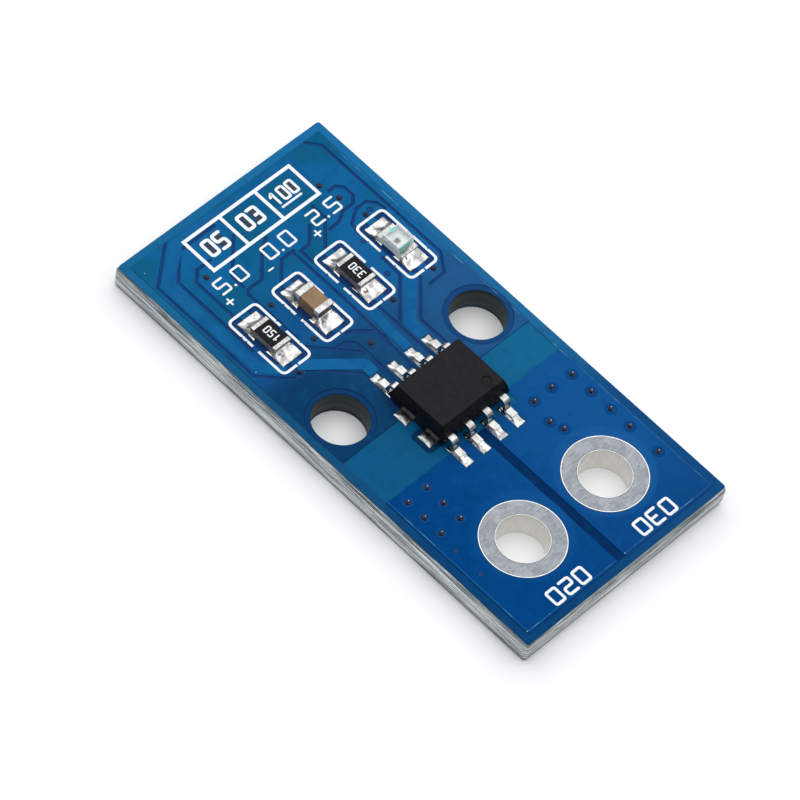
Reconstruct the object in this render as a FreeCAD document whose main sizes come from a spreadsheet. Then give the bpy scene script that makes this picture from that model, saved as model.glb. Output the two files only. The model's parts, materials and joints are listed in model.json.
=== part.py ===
"""Hall effect current sensor: a small circuit board whose sensing chip bridges two current planes.

Millimetres, +Z up. The origin is the middle of the underside. +X runs along the board from the
header end to the two current terminals, and the component face looks along +Z.
"""
import FreeCAD, Part

import math
import os

import Sketcher
from FreeCAD import Placement, Vector

SIZES = {
    # Laminate and its layers. The board is measured over the broken web of its scored edges.
    "board_length": 30.2,
    "board_width": 14.9,
    "board_thickness": 1.6,
    "board_corner": 0.25,
    "score_depth": 0.42,
    "score_inset": 0.1,
    "copper_thickness": 0.07,
    "mask_cover": 0.03,
    "mask_dip": 0.035,
    "mask_shoulder": 0.05,
    "copper_setback": 0.5,
    # Plain holes for mounting screws, on a line across the board.
    "mount_hole": 3.15,
    "mount_spacing": 10.16,
    "mount_place": -0.77,
    "mount_keepout": 0.35,
    # Tinned terminals for the measured current.
    "terminal_bore": 2.85,
    "terminal_wall": 0.17,
    "terminal_ring": 4.7,
    "terminal_spacing": 6.1,
    "terminal_place": 10.42,
    "terminal_crown": 0.03,
    "terminal_break": 0.08,
    # Current planes.
    "plane_start": 4.4,
    "plane_split": 0.64,
    "plane_step_start": 3.5,
    "plane_step_side": 2.85,
    # Plated vias.
    "via_bore": 0.3,
    "via_wall": 0.05,
    "via_pad": 0.6,
    "via_clearance": 0.15,
    "inlet_row_inset": 0.68,
    "outlet_row_inset": 0.82,
    "outlet_row_pitch": 1.38,
    # Signal copper.
    "signal_end": 1.15,
    "route_gap": 0.28,
    "back_run_width": 0.4,
    # Sensing chip, eight leads on a 1.27 pitch.
    "chip_place": 1.97,
    "chip_pitch": 1.27,
    "chip_length": 4.9,
    "chip_width": 3.9,
    "chip_rise": 0.1,
    "chip_body": 1.43,
    "chip_draft_top": 0.2,
    "chip_draft_foot": 0.12,
    "chip_bevel_width": 0.3,
    "chip_bevel_drop": 0.4,
    "chip_mark_bore": 0.56,
    "chip_mark_depth": 0.05,
    "chip_mark_inset": 0.72,
    "lead_span": 6.0,
    "lead_width": 0.42,
    "lead_thickness": 0.2,
    "lead_level": 0.72,
    "lead_foot": 0.62,
    "lead_bend": 0.24,
    "lead_root": 0.62,
    "lead_knee_inset": 0.1,
    "loop_slot": 0.5,
    "film_thickness": 0.06,
    "film_margin": 0.1,
    "die_length": 1.6,
    "die_width": 1.4,
    "die_thickness": 0.25,
    # Tinned pads and the solder on them.
    "tin_rise": 0.03,
    "solder_edge": 0.02,
    "solder_margin": 0.04,
    "chip_pad_length": 1.56,
    "chip_pad_width": 0.62,
    "chip_pad_reach": 3.56,
    # The row of four small parts across the board.
    "row_place": -6.68,
    "row_first": 4.93,
    "row_pitch": 3.12,
    "row_pad_length": 1.3,
    "row_pad_width": 1.44,
    "row_pad_span": 3.48,
    "row_neck": 0.48,
    "outline_length": 4.33,
    "outline_width": 2.17,
    "outline_corner": 0.42,
    "outline_gap": 0.42,
    "print_line": 0.16,
    "print_thickness": 0.02,
    # Resistors.
    "resistor_length": 1.85,
    "resistor_width": 1.12,
    "resistor_thickness": 0.5,
    "resistor_end": 0.24,
    "resistor_plating": 0.05,
    "glaze_thickness": 0.04,
    # Capacitor.
    "capacitor_length": 1.78,
    "capacitor_width": 1.1,
    "capacitor_thickness": 0.85,
    "capacitor_end": 0.36,
    "capacitor_plating": 0.03,
    # Indicator lamp.
    "lamp_length": 1.9,
    "lamp_width": 1.2,
    "lamp_thickness": 0.75,
    "lamp_base": 0.3,
    "lamp_plating": 0.04,
    "lamp_terminal": 0.32,
    "lamp_lens_top": 1.14,
    "lamp_die": 0.26,
    # Two spare tinned pads beside the chip.
    "spare_pad_length": 0.92,
    "spare_pad_width": 0.68,
    "spare_pad_height": 0.08,
    "spare_pad_flank": 0.1,
    "spare_pad_clearance": 0.15,
    "spare_pad_pitch": 1.74,
    "spare_pad_place": 2.11,
    "spare_pad_side": -2.48,
    # Printed box round the header places.
    "header_inset": 2.35,
    "header_offset": 0.19,
    "header_length": 2.5,
    "header_cell": 2.57,
    "header_line": 0.2,
}

# Via holes are narrower than a third of a millimetre, so six flat sides stand for each round wall.
VIA_SIDES = 6

# The copper stops round each mounting hole at a ring of short straight steps.
KEEPOUT_SIDES = 24

# Slivers of copper below this volume, left between crossing gaps, are etched away.
SMALLEST_COPPER = 0.002

# A slope of solder hollows by this power, keeps this share of its width at its crest, and climbs
# this share of a metal end.
SOLDER_HOLLOW = 2.4
SOLDER_CREST = 0.8
SOLDER_CLIMB = 0.8
CAPACITOR_CLIMB = 0.6

# Vias of the inlet plane: places along the row by the edge, then x and the drop from that row.
INLET_ROW = (5.02, 6.42, 7.82, 9.22, 11.27)
INLET_VIAS_APART = ((4.9, 1.42), (4.93, 2.74), (6.35, 3.02), (7.12, 2.77))

# Vias of the outlet plane stand in two rows of three.
OUTLET_COLUMNS = (5.05, 6.26, 7.47)

# Signal vias. The first four are joined in pairs by runs on the back, the rest end in the ground fill.
PAIRED_VIAS = (((-11.55, -4.28), (-4.23, -4.67)), ((-10.73, 4.67), (-4.28, 2.27)))
GROUND_VIAS = ((-8.13, -2.88), (-5.2, -2.65), (-9.05, 5.0), (-4.33, 5.33), (-11.95, 4.4), (-3.1, -0.55))

# Middle lines of the gaps between the signal nets on the face.
GAP_ROUTES = {
    "supply_outer": ((-14.7, -4.15), (-12.68, -6.69), (-5.55, -6.69), (-4.05, -5.19),
                     (-4.05, -4.25), (-2.02, -2.22), (0.1, -2.22)),
    "supply_inner": ((-13.65, -1.6), (-13.65, -4.22), (-12.24, -5.63), (-6.65, -5.63)),
    "chip_feed": ((-5.2, -3.4), (-2.78, -1.1), (0.1, -1.27)),
    "supply_island": ((-12.2, -3.3), (-12.2, -4.3), (-11.65, -4.9), (-8.9, -4.9), (-8.3, -5.5)),
    "header_split": ((-12.6, -1.3), (-10.72, -3.2), (-9.8, -3.2)),
    "ground_lower": ((-11.4, -0.05), (-10.95, -0.8), (-9.6, -2.15), (-9.6, -3.1), (-9.4, -3.33),
                     (-5.6, -3.33)),
    "ground_upper": ((-9.85, 0.5), (-9.85, -0.45), (-8.65, -1.65)),
    "output_upper": ((-11.3, 3.2), (-10.3, 3.2), (-8.75, 1.7)),
    "output_lower": ((-10.5, 2.25), (-9.6, 1.35), (-9.6, 0.72), (-8.6, 0.7)),
    "middle_upper": ((-9.85, 0.34), (-5.4, 0.33), (0.1, 0.02)),
    "filter_ring": ((-2.5, 0.12), (-3.0, 0.3), (-3.6, 0.05), (-4.25, -0.75), (-4.4, -1.2)),
    "filter_lower": ((-2.78, -1.1), (-3.6, -1.15), (-3.95, -1.5), (-4.05, -2.3)),
    "pin_seven": ((-4.6, 1.39), (0.1, 1.39)),
    "pin_eight_lower": ((-2.95, 1.42), (-5.15, 3.65), (-6.6, 3.75)),
    "pin_eight_upper": ((0.1, 2.52), (-2.5, 2.52), (-4.45, 4.48)),
    "perimeter": ((-14.6, 5.65), (-13.75, 6.37), (-4.85, 6.37), (-3.8, 5.6), (-3.75, 4.4)),
    "lamp_ring": ((-8.6, 6.1), (-9.25, 6.0), (-9.65, 5.6), (-9.65, 4.85), (-9.1, 4.0), (-8.3, 3.85)),
    "via_ring": ((-11.4, 4.5), (-11.4, 5.05), (-11.05, 5.37), (-10.4, 5.37), (-10.0, 5.0), (-10.0, 4.2),
                 (-9.65, 3.6), (-9.6, 2.8)),
}

doc = FreeCAD.newDocument("current_sensor")
sheet = doc.addObject("Spreadsheet::Sheet", "Sizes")


def fill_sheet():
    for line, (alias, value) in enumerate(SIZES.items(), start=1):
        sheet.set(f"A{line}", alias)
        sheet.set(f"B{line}", str(value))
        sheet.setAlias(f"B{line}", alias)
    doc.recompute()


def size(alias):
    return float(sheet.get(alias))


def bind(thing, expressions):
    """Ties properties of a document object to expressions of the sheet."""
    for name, expression in expressions.items():
        thing.setExpression(name, expression)


def new_body(label, place=None):
    body = doc.addObject("PartDesign::Body", label)
    body.Label = label
    for axis, expression in (place or {}).items():
        body.setExpression(f"Placement.Base.{axis}", expression)
    return body


def attach(sketch, body, role, offset=None):
    """Lays a sketch on one of its body's origin planes, raised by an expression."""
    plane = next(item for item in body.Origin.OriginFeatures if item.Role == role)
    sketch.AttachmentSupport = [(plane, "")]
    sketch.MapMode = "FlatFace"
    if offset:
        sketch.setExpression("AttachmentOffset.Base.z", offset)


def polygon_sketch(body, name, role, *outlines, offset=None):
    sketch = body.newObject("Sketcher::SketchObject", name)
    attach(sketch, body, role, offset)
    for points in outlines:
        corners = [Vector(x, y, 0) for x, y in points]
        edges = [Part.LineSegment(a, b) for a, b in zip(corners, corners[1:] + corners[:1])]
        sketch.addGeometry(edges, False)
    return sketch


def rectangle_sketch(body, name, role, width, depth, middle=("0", "0"), offset=None):
    """A rectangle whose sides and middle follow the sheet through its constraints."""
    sketch = body.newObject("Sketcher::SketchObject", name)
    attach(sketch, body, role, offset)
    corners = [Vector(x, y, 0) for x, y in ((-1, -1), (1, -1), (1, 1), (-1, 1))]
    sketch.addGeometry([Part.LineSegment(a, b) for a, b in zip(corners, corners[1:] + corners[:1])])
    for edge in range(4):
        sketch.addConstraint(Sketcher.Constraint("Coincident", edge, 2, (edge + 1) % 4, 1))
    for edge, direction in enumerate(("Horizontal", "Vertical", "Horizontal", "Vertical")):
        sketch.addConstraint(Sketcher.Constraint(direction, edge))
    driving = (
        ("DistanceX", (0, 1, 0, 2), 2.0, width),
        ("DistanceY", (1, 1, 1, 2), 2.0, depth),
        ("DistanceX", (-1, 1, 0, 2), 1.0, f"({width}) / 2 + ({middle[0]})"),
        ("DistanceY", (-1, 1, 1, 2), 1.0, f"({depth}) / 2 + ({middle[1]})"),
    )
    for kind, ends, value, expression in driving:
        number = sketch.addConstraint(Sketcher.Constraint(kind, *ends, value))
        sketch.setExpression(f"Constraints[{number}]", expression)
    return sketch


def ring_corners(place, diameter, sides):
    """Corners of an even outline, as wide across its flats as the diameter."""
    radius = diameter / 2 / math.cos(math.pi / sides)
    angles = [(i + 0.5) * 2 * math.pi / sides for i in range(sides)]
    return [(place[0] + radius * math.cos(a), place[1] + radius * math.sin(a)) for a in angles]


def via_corners(place, diameter):
    return ring_corners(place, diameter, VIA_SIDES)


def circles_sketch(body, name, role, circles, offset=None):
    """Circles at fixed places, each with its diameter tied to an expression."""
    sketch = body.newObject("Sketcher::SketchObject", name)
    attach(sketch, body, role, offset)
    for x, y, diameter in circles:
        number = sketch.addGeometry(Part.Circle(Vector(x, y, 0), Vector(0, 0, 1), 0.5))
        limit = sketch.addConstraint(Sketcher.Constraint("Diameter", number, 1.0))
        sketch.setExpression(f"Constraints[{limit}]", diameter)
    return sketch


def ribbon(points, thickness, radius):
    """Edges of a strip of even thickness bent along points in a plane, with round bends."""
    path = [Vector(x, y, 0) for x, y in points]
    sides = {}
    for side in (1, -1):
        edges = []
        last = path[0] + normal(path[0], path[1]) * side * thickness / 2
        for before, corner, after in zip(path, path[1:], path[2:]):
            turn_in = (corner - before).normalize()
            turn_out = (after - corner).normalize()
            angle = turn_in.getAngle(turn_out)
            left = math.copysign(1, turn_in.cross(turn_out).z)
            setback = radius * math.tan(angle / 2)
            bend = radius - left * side * thickness / 2
            start_middle = corner - turn_in * setback
            centre = start_middle + Vector(-turn_in.y, turn_in.x, 0) * left * radius
            start = centre + (start_middle - centre).normalize() * bend
            finish = centre + (corner + turn_out * setback - centre).normalize() * bend
            middle = centre + (corner - centre).normalize() * bend
            edges.append(Part.LineSegment(last, start))
            edges.append(Part.Arc(start, middle, finish))
            last = finish
        end = path[-1] + normal(path[-2], path[-1]) * side * thickness / 2
        edges.append(Part.LineSegment(last, end))
        sides[side] = (edges, end)
    first = path[0] + normal(path[0], path[1]) * thickness / 2
    second = path[0] - normal(path[0], path[1]) * thickness / 2
    caps = [Part.LineSegment(first, second), Part.LineSegment(sides[1][1], sides[-1][1])]
    return sides[1][0] + sides[-1][0] + caps


def normal(start, end):
    """Unit vector to the left of the way from start to end."""
    way = (end - start).normalize()
    return Vector(-way.y, way.x, 0)


def pad(body, name, sketch, length, symmetric=False):
    feature = body.newObject("PartDesign::Pad", name)
    feature.Profile = sketch
    feature.setExpression("Length", length)
    feature.SideType = "Symmetric" if symmetric else "One side"
    doc.recompute()
    return feature


def pocket(body, name, sketch, depth=None):
    """Cuts a sketch out of a body: to a depth below the sketch, or right through on both sides."""
    before = body.Shape.Volume
    feature = body.newObject("PartDesign::Pocket", name)
    feature.Profile = sketch
    if depth:
        feature.setExpression("Length", depth)
    else:
        feature.Type = "ThroughAll"
        feature.SideType = "Symmetric"
    doc.recompute()
    assert body.Shape.Volume < before, f"{name} cuts nothing"
    return feature


def feature_from(label, shape):
    """A document object that holds a shape worked out from the sheet."""
    item = doc.addObject("Part::Feature", label)
    item.Label = label
    item.Shape = shape
    item.Placement = Placement()
    return item


def block(label, length, width, height, x, y, z):
    """A box standing on z, centred on x and y, all of them expressions."""
    box = doc.addObject("Part::Box", label)
    box.Label = label
    bind(box, {
        "Length": length,
        "Width": width,
        "Height": height,
        "Placement.Base.x": f"({x}) - ({length}) / 2",
        "Placement.Base.y": f"({y}) - ({width}) / 2",
        "Placement.Base.z": z,
    })
    doc.recompute()
    return box


def prism(points, bottom, top):
    corners = [Vector(x, y, bottom) for x, y in points]
    face = Part.Face(Part.makePolygon(corners + corners[:1]))
    return face.extrude(Vector(0, 0, top - bottom))


def slab(x_range, y_range, bottom, top):
    """An upright block between two x, two y and two z values."""
    low = Vector(x_range[0], y_range[0], bottom)
    return Part.makeBox(x_range[1] - x_range[0], y_range[1] - y_range[0], top - bottom, low)


def disc(place, diameter, bottom, top):
    return Part.makeCylinder(diameter / 2, top - bottom, Vector(place[0], place[1], bottom))


def via_prism(place, diameter, bottom, top):
    return prism(via_corners(place, diameter), bottom, top)


def band(points, width, bottom, top):
    """A strip of even width along a bent line, mitred at its corners."""
    path = [Vector(x, y, 0) for x, y in points]
    ways = [normal(a, b) for a, b in zip(path, path[1:])]
    mitres = [ways[0]]
    for before, after in zip(ways, ways[1:]):
        middle = (before + after).normalize()
        mitres.append(middle / middle.dot(before))
    mitres.append(ways[-1])
    left = [point + mitre * width / 2 for point, mitre in zip(path, mitres)]
    right = [point - mitre * width / 2 for point, mitre in zip(path, mitres)]
    return prism([(p.x, p.y) for p in left + right[::-1]], bottom, top)


def joined(shapes):
    whole = shapes[0].fuse(list(shapes[1:])) if len(shapes) > 1 else shapes[0]
    return whole.removeSplitter()


def half_face():
    """Half the length and half the width of the printed face, inside the scored edges."""
    inset = size("score_inset")
    return size("board_length") / 2 - inset, size("board_width") / 2 - inset


def levels():
    """Heights of the layers, from the underside up."""
    cover = size("mask_cover")
    copper = size("copper_thickness")
    top = size("board_thickness")
    return {
        "back_copper": cover,
        "back_laminate": cover + copper,
        "laminate": top - cover - copper,
        "copper": top - cover,
        "dip": top - size("mask_dip"),
        "face": top,
        "tin": top + size("tin_rise"),
    }


def copper_edge():
    """Half the width across the copper, from side to side of the board."""
    return half_face()[1] - size("copper_setback")


def inlet_vias():
    row = copper_edge() - size("inlet_row_inset")
    return [(x, row) for x in INLET_ROW] + [(x, row - drop) for x, drop in INLET_VIAS_APART]


def outlet_vias():
    row = size("outlet_row_inset") - copper_edge()
    return [(x, y) for y in (row + size("outlet_row_pitch"), row) for x in OUTLET_COLUMNS]


def signal_vias():
    return [place for pair in PAIRED_VIAS for place in pair] + list(GROUND_VIAS)


def chip_rows():
    """Middle lines of the four lead rows, from pin 1 down."""
    pitch = size("chip_pitch")
    return [pitch * (1.5 - i) for i in range(4)]


def row_sides():
    """Middle lines of the small parts: lamp, resistor, capacitor, resistor."""
    return [size("row_first") - size("row_pitch") * i for i in range(4)]


def row_pads(side):
    """x and y ranges of the two pads of a small part."""
    place = size("row_place")
    span = size("row_pad_span") / 2
    length = size("row_pad_length")
    half = size("row_pad_width") / 2
    ranges = (side - half, side + half)
    return [((place - span, place - span + length), ranges), ((place + span - length, place + span), ranges)]


def chip_pads(direction):
    """x and y ranges of the four pads on one side of the chip."""
    outer = size("chip_place") + direction * size("chip_pad_reach")
    inner = outer - direction * size("chip_pad_length")
    half = size("chip_pad_width") / 2
    return [(tuple(sorted((inner, outer))), (y - half, y + half)) for y in chip_rows()]


def spare_pads():
    half = size("spare_pad_length") / 2
    side = size("spare_pad_side")
    ranges = (side - size("spare_pad_width") / 2, side + size("spare_pad_width") / 2)
    middle = size("spare_pad_place")
    step = size("spare_pad_pitch") / 2
    return [((x - half, x + half), ranges) for x in (middle - step, middle + step)]


def circuit_board():
    """The laminate, scored on both faces and drilled."""
    label = "circuit_board"
    body = new_body(label)
    rise = "Sizes.copper_thickness + Sizes.mask_cover"
    outline = rectangle_sketch(body, "board_outline", "XY_Plane", "Sizes.board_length",
                               "Sizes.board_width", offset=rise)
    core = "Sizes.board_thickness - 2 * (Sizes.copper_thickness + Sizes.mask_cover)"
    plate = pad(body, "board_plate", outline, core)
    upright = [f"Edge{i}" for i, edge in enumerate(plate.Shape.Edges, start=1)
               if abs(edge.tangentAt(edge.FirstParameter).z) > 0.99]
    rounded = body.newObject("PartDesign::Fillet", "board_corners")
    rounded.Base = (plate, upright)
    rounded.setExpression("Radius", "Sizes.board_corner")
    doc.recompute()
    for name, role, extent in (("end_scores", "XZ_Plane", "board_length"),
                               ("side_scores", "YZ_Plane", "board_width")):
        pocket(body, name, polygon_sketch(body, f"{name}_section", role, *score_sections(size(extent) / 2)))

    drill = size("via_bore") + 2 * size("via_wall")
    bored = "Sizes.terminal_bore + 2 * Sizes.terminal_wall"
    mount = size("mount_place")
    terminal = size("terminal_place")
    wide = [(mount, side * size("mount_spacing") / 2, "Sizes.mount_hole") for side in (1, -1)]
    wide += [(terminal, side * size("terminal_spacing") / 2, bored) for side in (1, -1)]
    pocket(body, "wide_holes_drilled", circles_sketch(body, "wide_holes", "XY_Plane", wide))
    fine = [via_corners(place, drill) for place in inlet_vias() + outlet_vias() + signal_vias()]
    pocket(body, "via_holes_drilled", polygon_sketch(body, "via_holes", "XY_Plane", *fine))
    return body


def score_sections(half):
    """The four slivers that the scoring blade takes off the edges at plus and minus half."""
    at = levels()
    depth = size("score_depth")
    inset = size("score_inset")
    sections = []
    for side in (1, -1):
        for rim, way in ((at["laminate"], -1), (at["back_laminate"], 1)):
            sections.append([(side * half, rim), (side * (half - inset), rim), (side * half, rim + way * depth)])
    return sections


def terminal(label, side):
    """A tinned ring on each face, joined by the barrel of its hole."""
    body = new_body(label, {
        "x": "Sizes.terminal_place",
        "y": f"{side} * Sizes.terminal_spacing / 2",
    })
    at = levels()
    bore = size("terminal_bore") / 2
    wall = bore + size("terminal_wall")
    ring = size("terminal_ring") / 2
    rim = size("terminal_break")
    crown = at["face"] + size("terminal_crown")
    profile = [
        (bore, 0), (ring, 0), (ring, at["back_laminate"]),
        (wall, at["back_laminate"]), (wall, at["laminate"]), (ring, at["laminate"]),
        (ring, at["face"]), (ring - rim, crown), (bore + rim, crown), (bore, crown - rim),
    ]
    sketch = polygon_sketch(body, f"{label}_section", "XZ_Plane", profile)
    turned = body.newObject("PartDesign::Revolution", f"{label}_turned")
    turned.Profile = sketch
    turned.ReferenceAxis = (sketch, ["V_Axis"])
    turned.Angle = 360
    doc.recompute()
    return body


def gap_shapes(bottom, top, narrower=0.0):
    """Every stretch of the signal side with no copper, drawn in by an amount on each side."""
    width = size("route_gap") - 2 * narrower
    shapes = [band(points, width, bottom, top) for points in GAP_ROUTES.values()]
    keepout = size("mount_hole") + 2 * size("mount_keepout") - 2 * narrower
    for side in (1, -1):
        place = (size("mount_place"), side * size("mount_spacing") / 2)
        shapes.append(prism(ring_corners(place, keepout, KEEPOUT_SIDES), bottom, top))
    clear = size("print_line") + narrower
    across = size("outline_length") / 2 - clear
    along = size("outline_width") / 2 - clear
    place = size("row_place")
    neck = size("row_neck") / 2 + narrower
    for y in row_sides():
        box = slab((place - across, place + across), (y - along, y + along), bottom, top)
        shapes.append(box.cut(slab((place - across, place + across), (y - neck, y + neck), bottom, top)))
        middle = (size("row_pad_span") - 2 * size("row_pad_length")) / 2 - narrower
        shapes.append(slab((place - middle, place + middle), (y - neck, y + neck), bottom, top))
    under = size("chip_place") - size("chip_pad_reach") + size("chip_pad_length") + narrower
    half = size("chip_length") / 2 + size("route_gap") / 2 - narrower
    shapes.append(slab((under, size("plane_start")), (-half, half), bottom, top))
    clear = size("spare_pad_clearance") - narrower
    for x, y in spare_pads():
        shapes.append(slab((x[0] - clear, x[1] + clear), (y[0] - clear, y[1] + clear), bottom, top))
    return shapes


def signal_nets():
    """The face copper of the header side, parted into its nets by the gaps, before drilling."""
    at = levels()
    bottom, top = at["laminate"], at["copper"]
    side = copper_edge()
    start = size("copper_setback") - half_face()[0]
    sheet_of_copper = slab((start, size("signal_end")), (-side, side), bottom, top)
    nets = sheet_of_copper.cut(gap_shapes(bottom, top))
    pads = [slab(x, y, bottom, top) for row in row_sides() for x, y in row_pads(row)]
    pads += [slab(x, y, bottom, top) for x, y in chip_pads(-1)]
    return whole_pieces(nets.fuse(pads).removeSplitter())


def whole_pieces(shape):
    """The solids of a shape, without the slivers."""
    return Part.makeCompound([solid for solid in shape.Solids if solid.Volume > SMALLEST_COPPER])


def plane_outline(side):
    """The corners of a current plane, stepped beside the chip on the inlet side."""
    end = half_face()[0] - size("copper_setback")
    edge = side * copper_edge()
    middle = side * size("plane_split") / 2
    start = size("plane_start")
    if side < 0:
        return [(start, middle), (end, middle), (end, edge), (start, edge)]
    step = size("plane_step_side")
    return [(start, middle), (end, middle), (end, edge), (size("plane_step_start"), edge),
            (size("plane_step_start"), step), (start, step)]


def face_plane(side):
    """The current plane on the component face with the two chip pads that reach into it."""
    at = levels()
    rows = chip_pads(1)[:2] if side > 0 else chip_pads(1)[2:]
    return joined([prism(plane_outline(side), at["laminate"], at["copper"])]
                  + [slab(x, y, at["laminate"], at["copper"]) for x, y in rows])


def current_path(label, side, vias):
    """Both planes of one side of the measured current, plated together through their vias."""
    at = levels()
    back = prism(plane_outline(side), at["back_copper"], at["back_laminate"])
    drill = size("via_bore") + 2 * size("via_wall")
    plugs = [via_prism(via, drill, at["back_copper"], at["copper"]) for via in vias]
    whole = face_plane(side).fuse([back] + plugs)
    place = (size("terminal_place"), side * size("terminal_spacing") / 2)
    cuts = [via_prism(via, size("via_bore"), at["back_copper"], at["copper"]) for via in vias]
    cuts.append(disc(place, size("terminal_ring"), at["back_copper"], at["copper"]))
    return feature_from(label, joined([whole]).cut(cuts))


def ground_fill():
    """Copper on the back of the header side, kept clear of the mounting holes and of the two runs."""
    at = levels()
    bottom, top = at["back_copper"], at["back_laminate"]
    side = copper_edge()
    start = size("copper_setback") - half_face()[0]
    fill = slab((start, size("signal_end")), (-side, side), bottom, top)
    keepout = size("mount_hole") / 2 + size("mount_keepout")
    inner = size("mount_spacing") / 2 - keepout
    across = (size("mount_place") - keepout, size("mount_place") + keepout)
    cuts = [slab(across, limits, bottom, top) for limits in ((inner, side), (-side, -inner))]
    clearance = 2 * size("via_clearance")
    for pair in PAIRED_VIAS:
        cuts.append(band(pair, size("back_run_width") + clearance, bottom, top))
        cuts += [via_prism(place, size("via_pad") + clearance, bottom, top) for place in pair]
    return fill.cut(cuts)


def back_runs():
    """The two runs on the back, each with a round pad at both of its vias."""
    at = levels()
    bottom, top = at["back_copper"], at["back_laminate"]
    return [joined([band(pair, size("back_run_width"), bottom, top)]
                   + [via_prism(place, size("via_pad"), bottom, top) for place in pair])
            for pair in PAIRED_VIAS]


def signal_copper(nets):
    """The nets of the face with the copper of the back, each plated through at its vias."""
    at = levels()
    bottom, top = at["back_copper"], at["copper"]
    drill = size("via_bore") + 2 * size("via_wall")
    plugs = [via_prism(place, drill, bottom, top) for place in signal_vias()]
    whole = nets.fuse([ground_fill()] + back_runs() + plugs).removeSplitter()
    bores = [via_prism(place, size("via_bore"), bottom, top) for place in signal_vias()]
    return feature_from("signal_copper", whole_pieces(whole.cut(bores)))


def face_outline(bottom, top):
    """The printed face as a plate, its upright corners rounded inside the scored edge."""
    length, width = half_face()
    plate = slab((-length, length), (-width, width), bottom, top)
    upright = [edge for edge in plate.Edges if abs(edge.tangentAt(edge.FirstParameter).z) > 0.99]
    return plate.makeFillet(size("board_corner") - size("score_inset"), upright)


def wide_bores(bottom, top):
    """The mounting holes and the terminal rings, as cuts through a layer of mask."""
    cuts = []
    for side in (1, -1):
        hole = (size("mount_place"), side * size("mount_spacing") / 2)
        ring = (size("terminal_place"), side * size("terminal_spacing") / 2)
        cuts.append(disc(hole, size("mount_hole"), bottom, top))
        cuts.append(disc(ring, size("terminal_ring"), bottom, top))
    return cuts


def mask_top(nets):
    """Lacquer on the component face: raised over the copper, dipped where there is none."""
    at = levels()
    shoulder = size("mask_shoulder")
    base = face_outline(at["laminate"], at["dip"])
    edge = copper_edge() + shoulder
    start = size("copper_setback") - half_face()[0] - shoulder
    signal = slab((start, size("signal_end") + shoulder), (-edge, edge), at["dip"], at["face"])
    raised = [signal.cut(gap_shapes(at["dip"], at["face"], shoulder))]
    for side in (1, -1):
        plane = Part.Face(Part.makePolygon([Vector(x, y, at["dip"]) for x, y in closed(plane_outline(side))]))
        wider = plane.makeOffset2D(shoulder, join=2)
        raised.append(wider.extrude(Vector(0, 0, at["face"] - at["dip"])))
    film = base.fuse(raised).removeSplitter()
    openings = wide_bores(at["laminate"], at["face"])
    places = inlet_vias() + outlet_vias() + signal_vias()
    openings += [via_prism(place, size("via_bore"), at["laminate"], at["face"]) for place in places]
    pads = chip_pads(1) + chip_pads(-1) + spare_pads()
    for row in row_sides():
        pads += row_pads(row)
    openings += [slab(x, y, at["laminate"], at["face"]) for x, y in pads]
    drill = size("via_bore") + 2 * size("via_wall")
    plugs = [via_prism(place, drill, at["laminate"], at["copper"]) for place in signal_vias()]
    film = film.cut(openings + plugs + [nets, face_plane(1), face_plane(-1)]).removeSplitter()
    return feature_from("solder_mask_face", whole_pieces(film))


def closed(points):
    return list(points) + [points[0]]


def mask_back():
    """Lacquer on the back, open at the holes and terminals and closed over the vias."""
    at = levels()
    bottom, top = at["back_copper"], at["back_laminate"]
    side = copper_edge()
    start = size("copper_setback") - half_face()[0]
    coppers = [slab((start, size("signal_end")), (-side, side), bottom, top)]
    coppers += [prism(plane_outline(way), bottom, top) for way in (1, -1)]
    film = face_outline(0, top).cut(coppers)
    return feature_from("solder_mask_back", whole_pieces(film.cut(wide_bores(0, top))))


def printed_outlines():
    """White outlines with cut corners round the small parts, open at the middle of each long side."""
    at = levels()
    bottom, top = at["face"], at["face"] + size("print_thickness")
    place = size("row_place")
    line = size("print_line")
    rings = []
    for y in row_sides():
        outer = cut_rectangle(place, y, size("outline_length"), size("outline_width"), size("outline_corner"))
        inner_corner = size("outline_corner") - line * (2 - math.sqrt(2))
        inner = cut_rectangle(place, y, size("outline_length") - 2 * line,
                              size("outline_width") - 2 * line, inner_corner)
        gap = slab((place - size("outline_gap") / 2, place + size("outline_gap") / 2),
                   (y - size("outline_width"), y + size("outline_width")), bottom, top)
        rings.append(prism(outer, bottom, top).cut([prism(inner, bottom, top), gap]))
    return feature_from("printed_part_outlines", Part.makeCompound(rings))


def cut_rectangle(x, y, length, width, corner):
    """Corners of a rectangle about x and y whose corners are cut at 45 degrees."""
    half_length, half_width = length / 2, width / 2
    quarter = [(half_length, half_width - corner), (half_length - corner, half_width)]
    return ([(x + a, y + b) for a, b in quarter] + [(x - a, y + b) for a, b in quarter[::-1]]
            + [(x - a, y - b) for a, b in quarter] + [(x + a, y - b) for a, b in quarter[::-1]])


def printed_header_box():
    """White box in three cells where the header goes."""
    at = levels()
    bottom, top = at["face"], at["face"] + size("print_thickness")
    line = size("header_line")
    cell = size("header_cell")
    x = size("header_inset") - size("board_length") / 2
    y = size("header_offset")
    length = size("header_length") / 2
    width = 1.5 * cell + line / 2
    box = slab((x - length, x + length), (y - width, y + width), bottom, top)
    windows = []
    for i in (-1, 0, 1):
        middle = y + i * cell
        half = (cell - line) / 2
        windows.append(slab((x - length + line, x + length - line), (middle - half, middle + half), bottom, top))
    return feature_from("printed_header_box", box.cut(windows))


def chip_seat():
    """Expression for the height on which all small parts and the chip's feet stand."""
    return "Sizes.board_thickness + Sizes.tin_rise"


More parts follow.
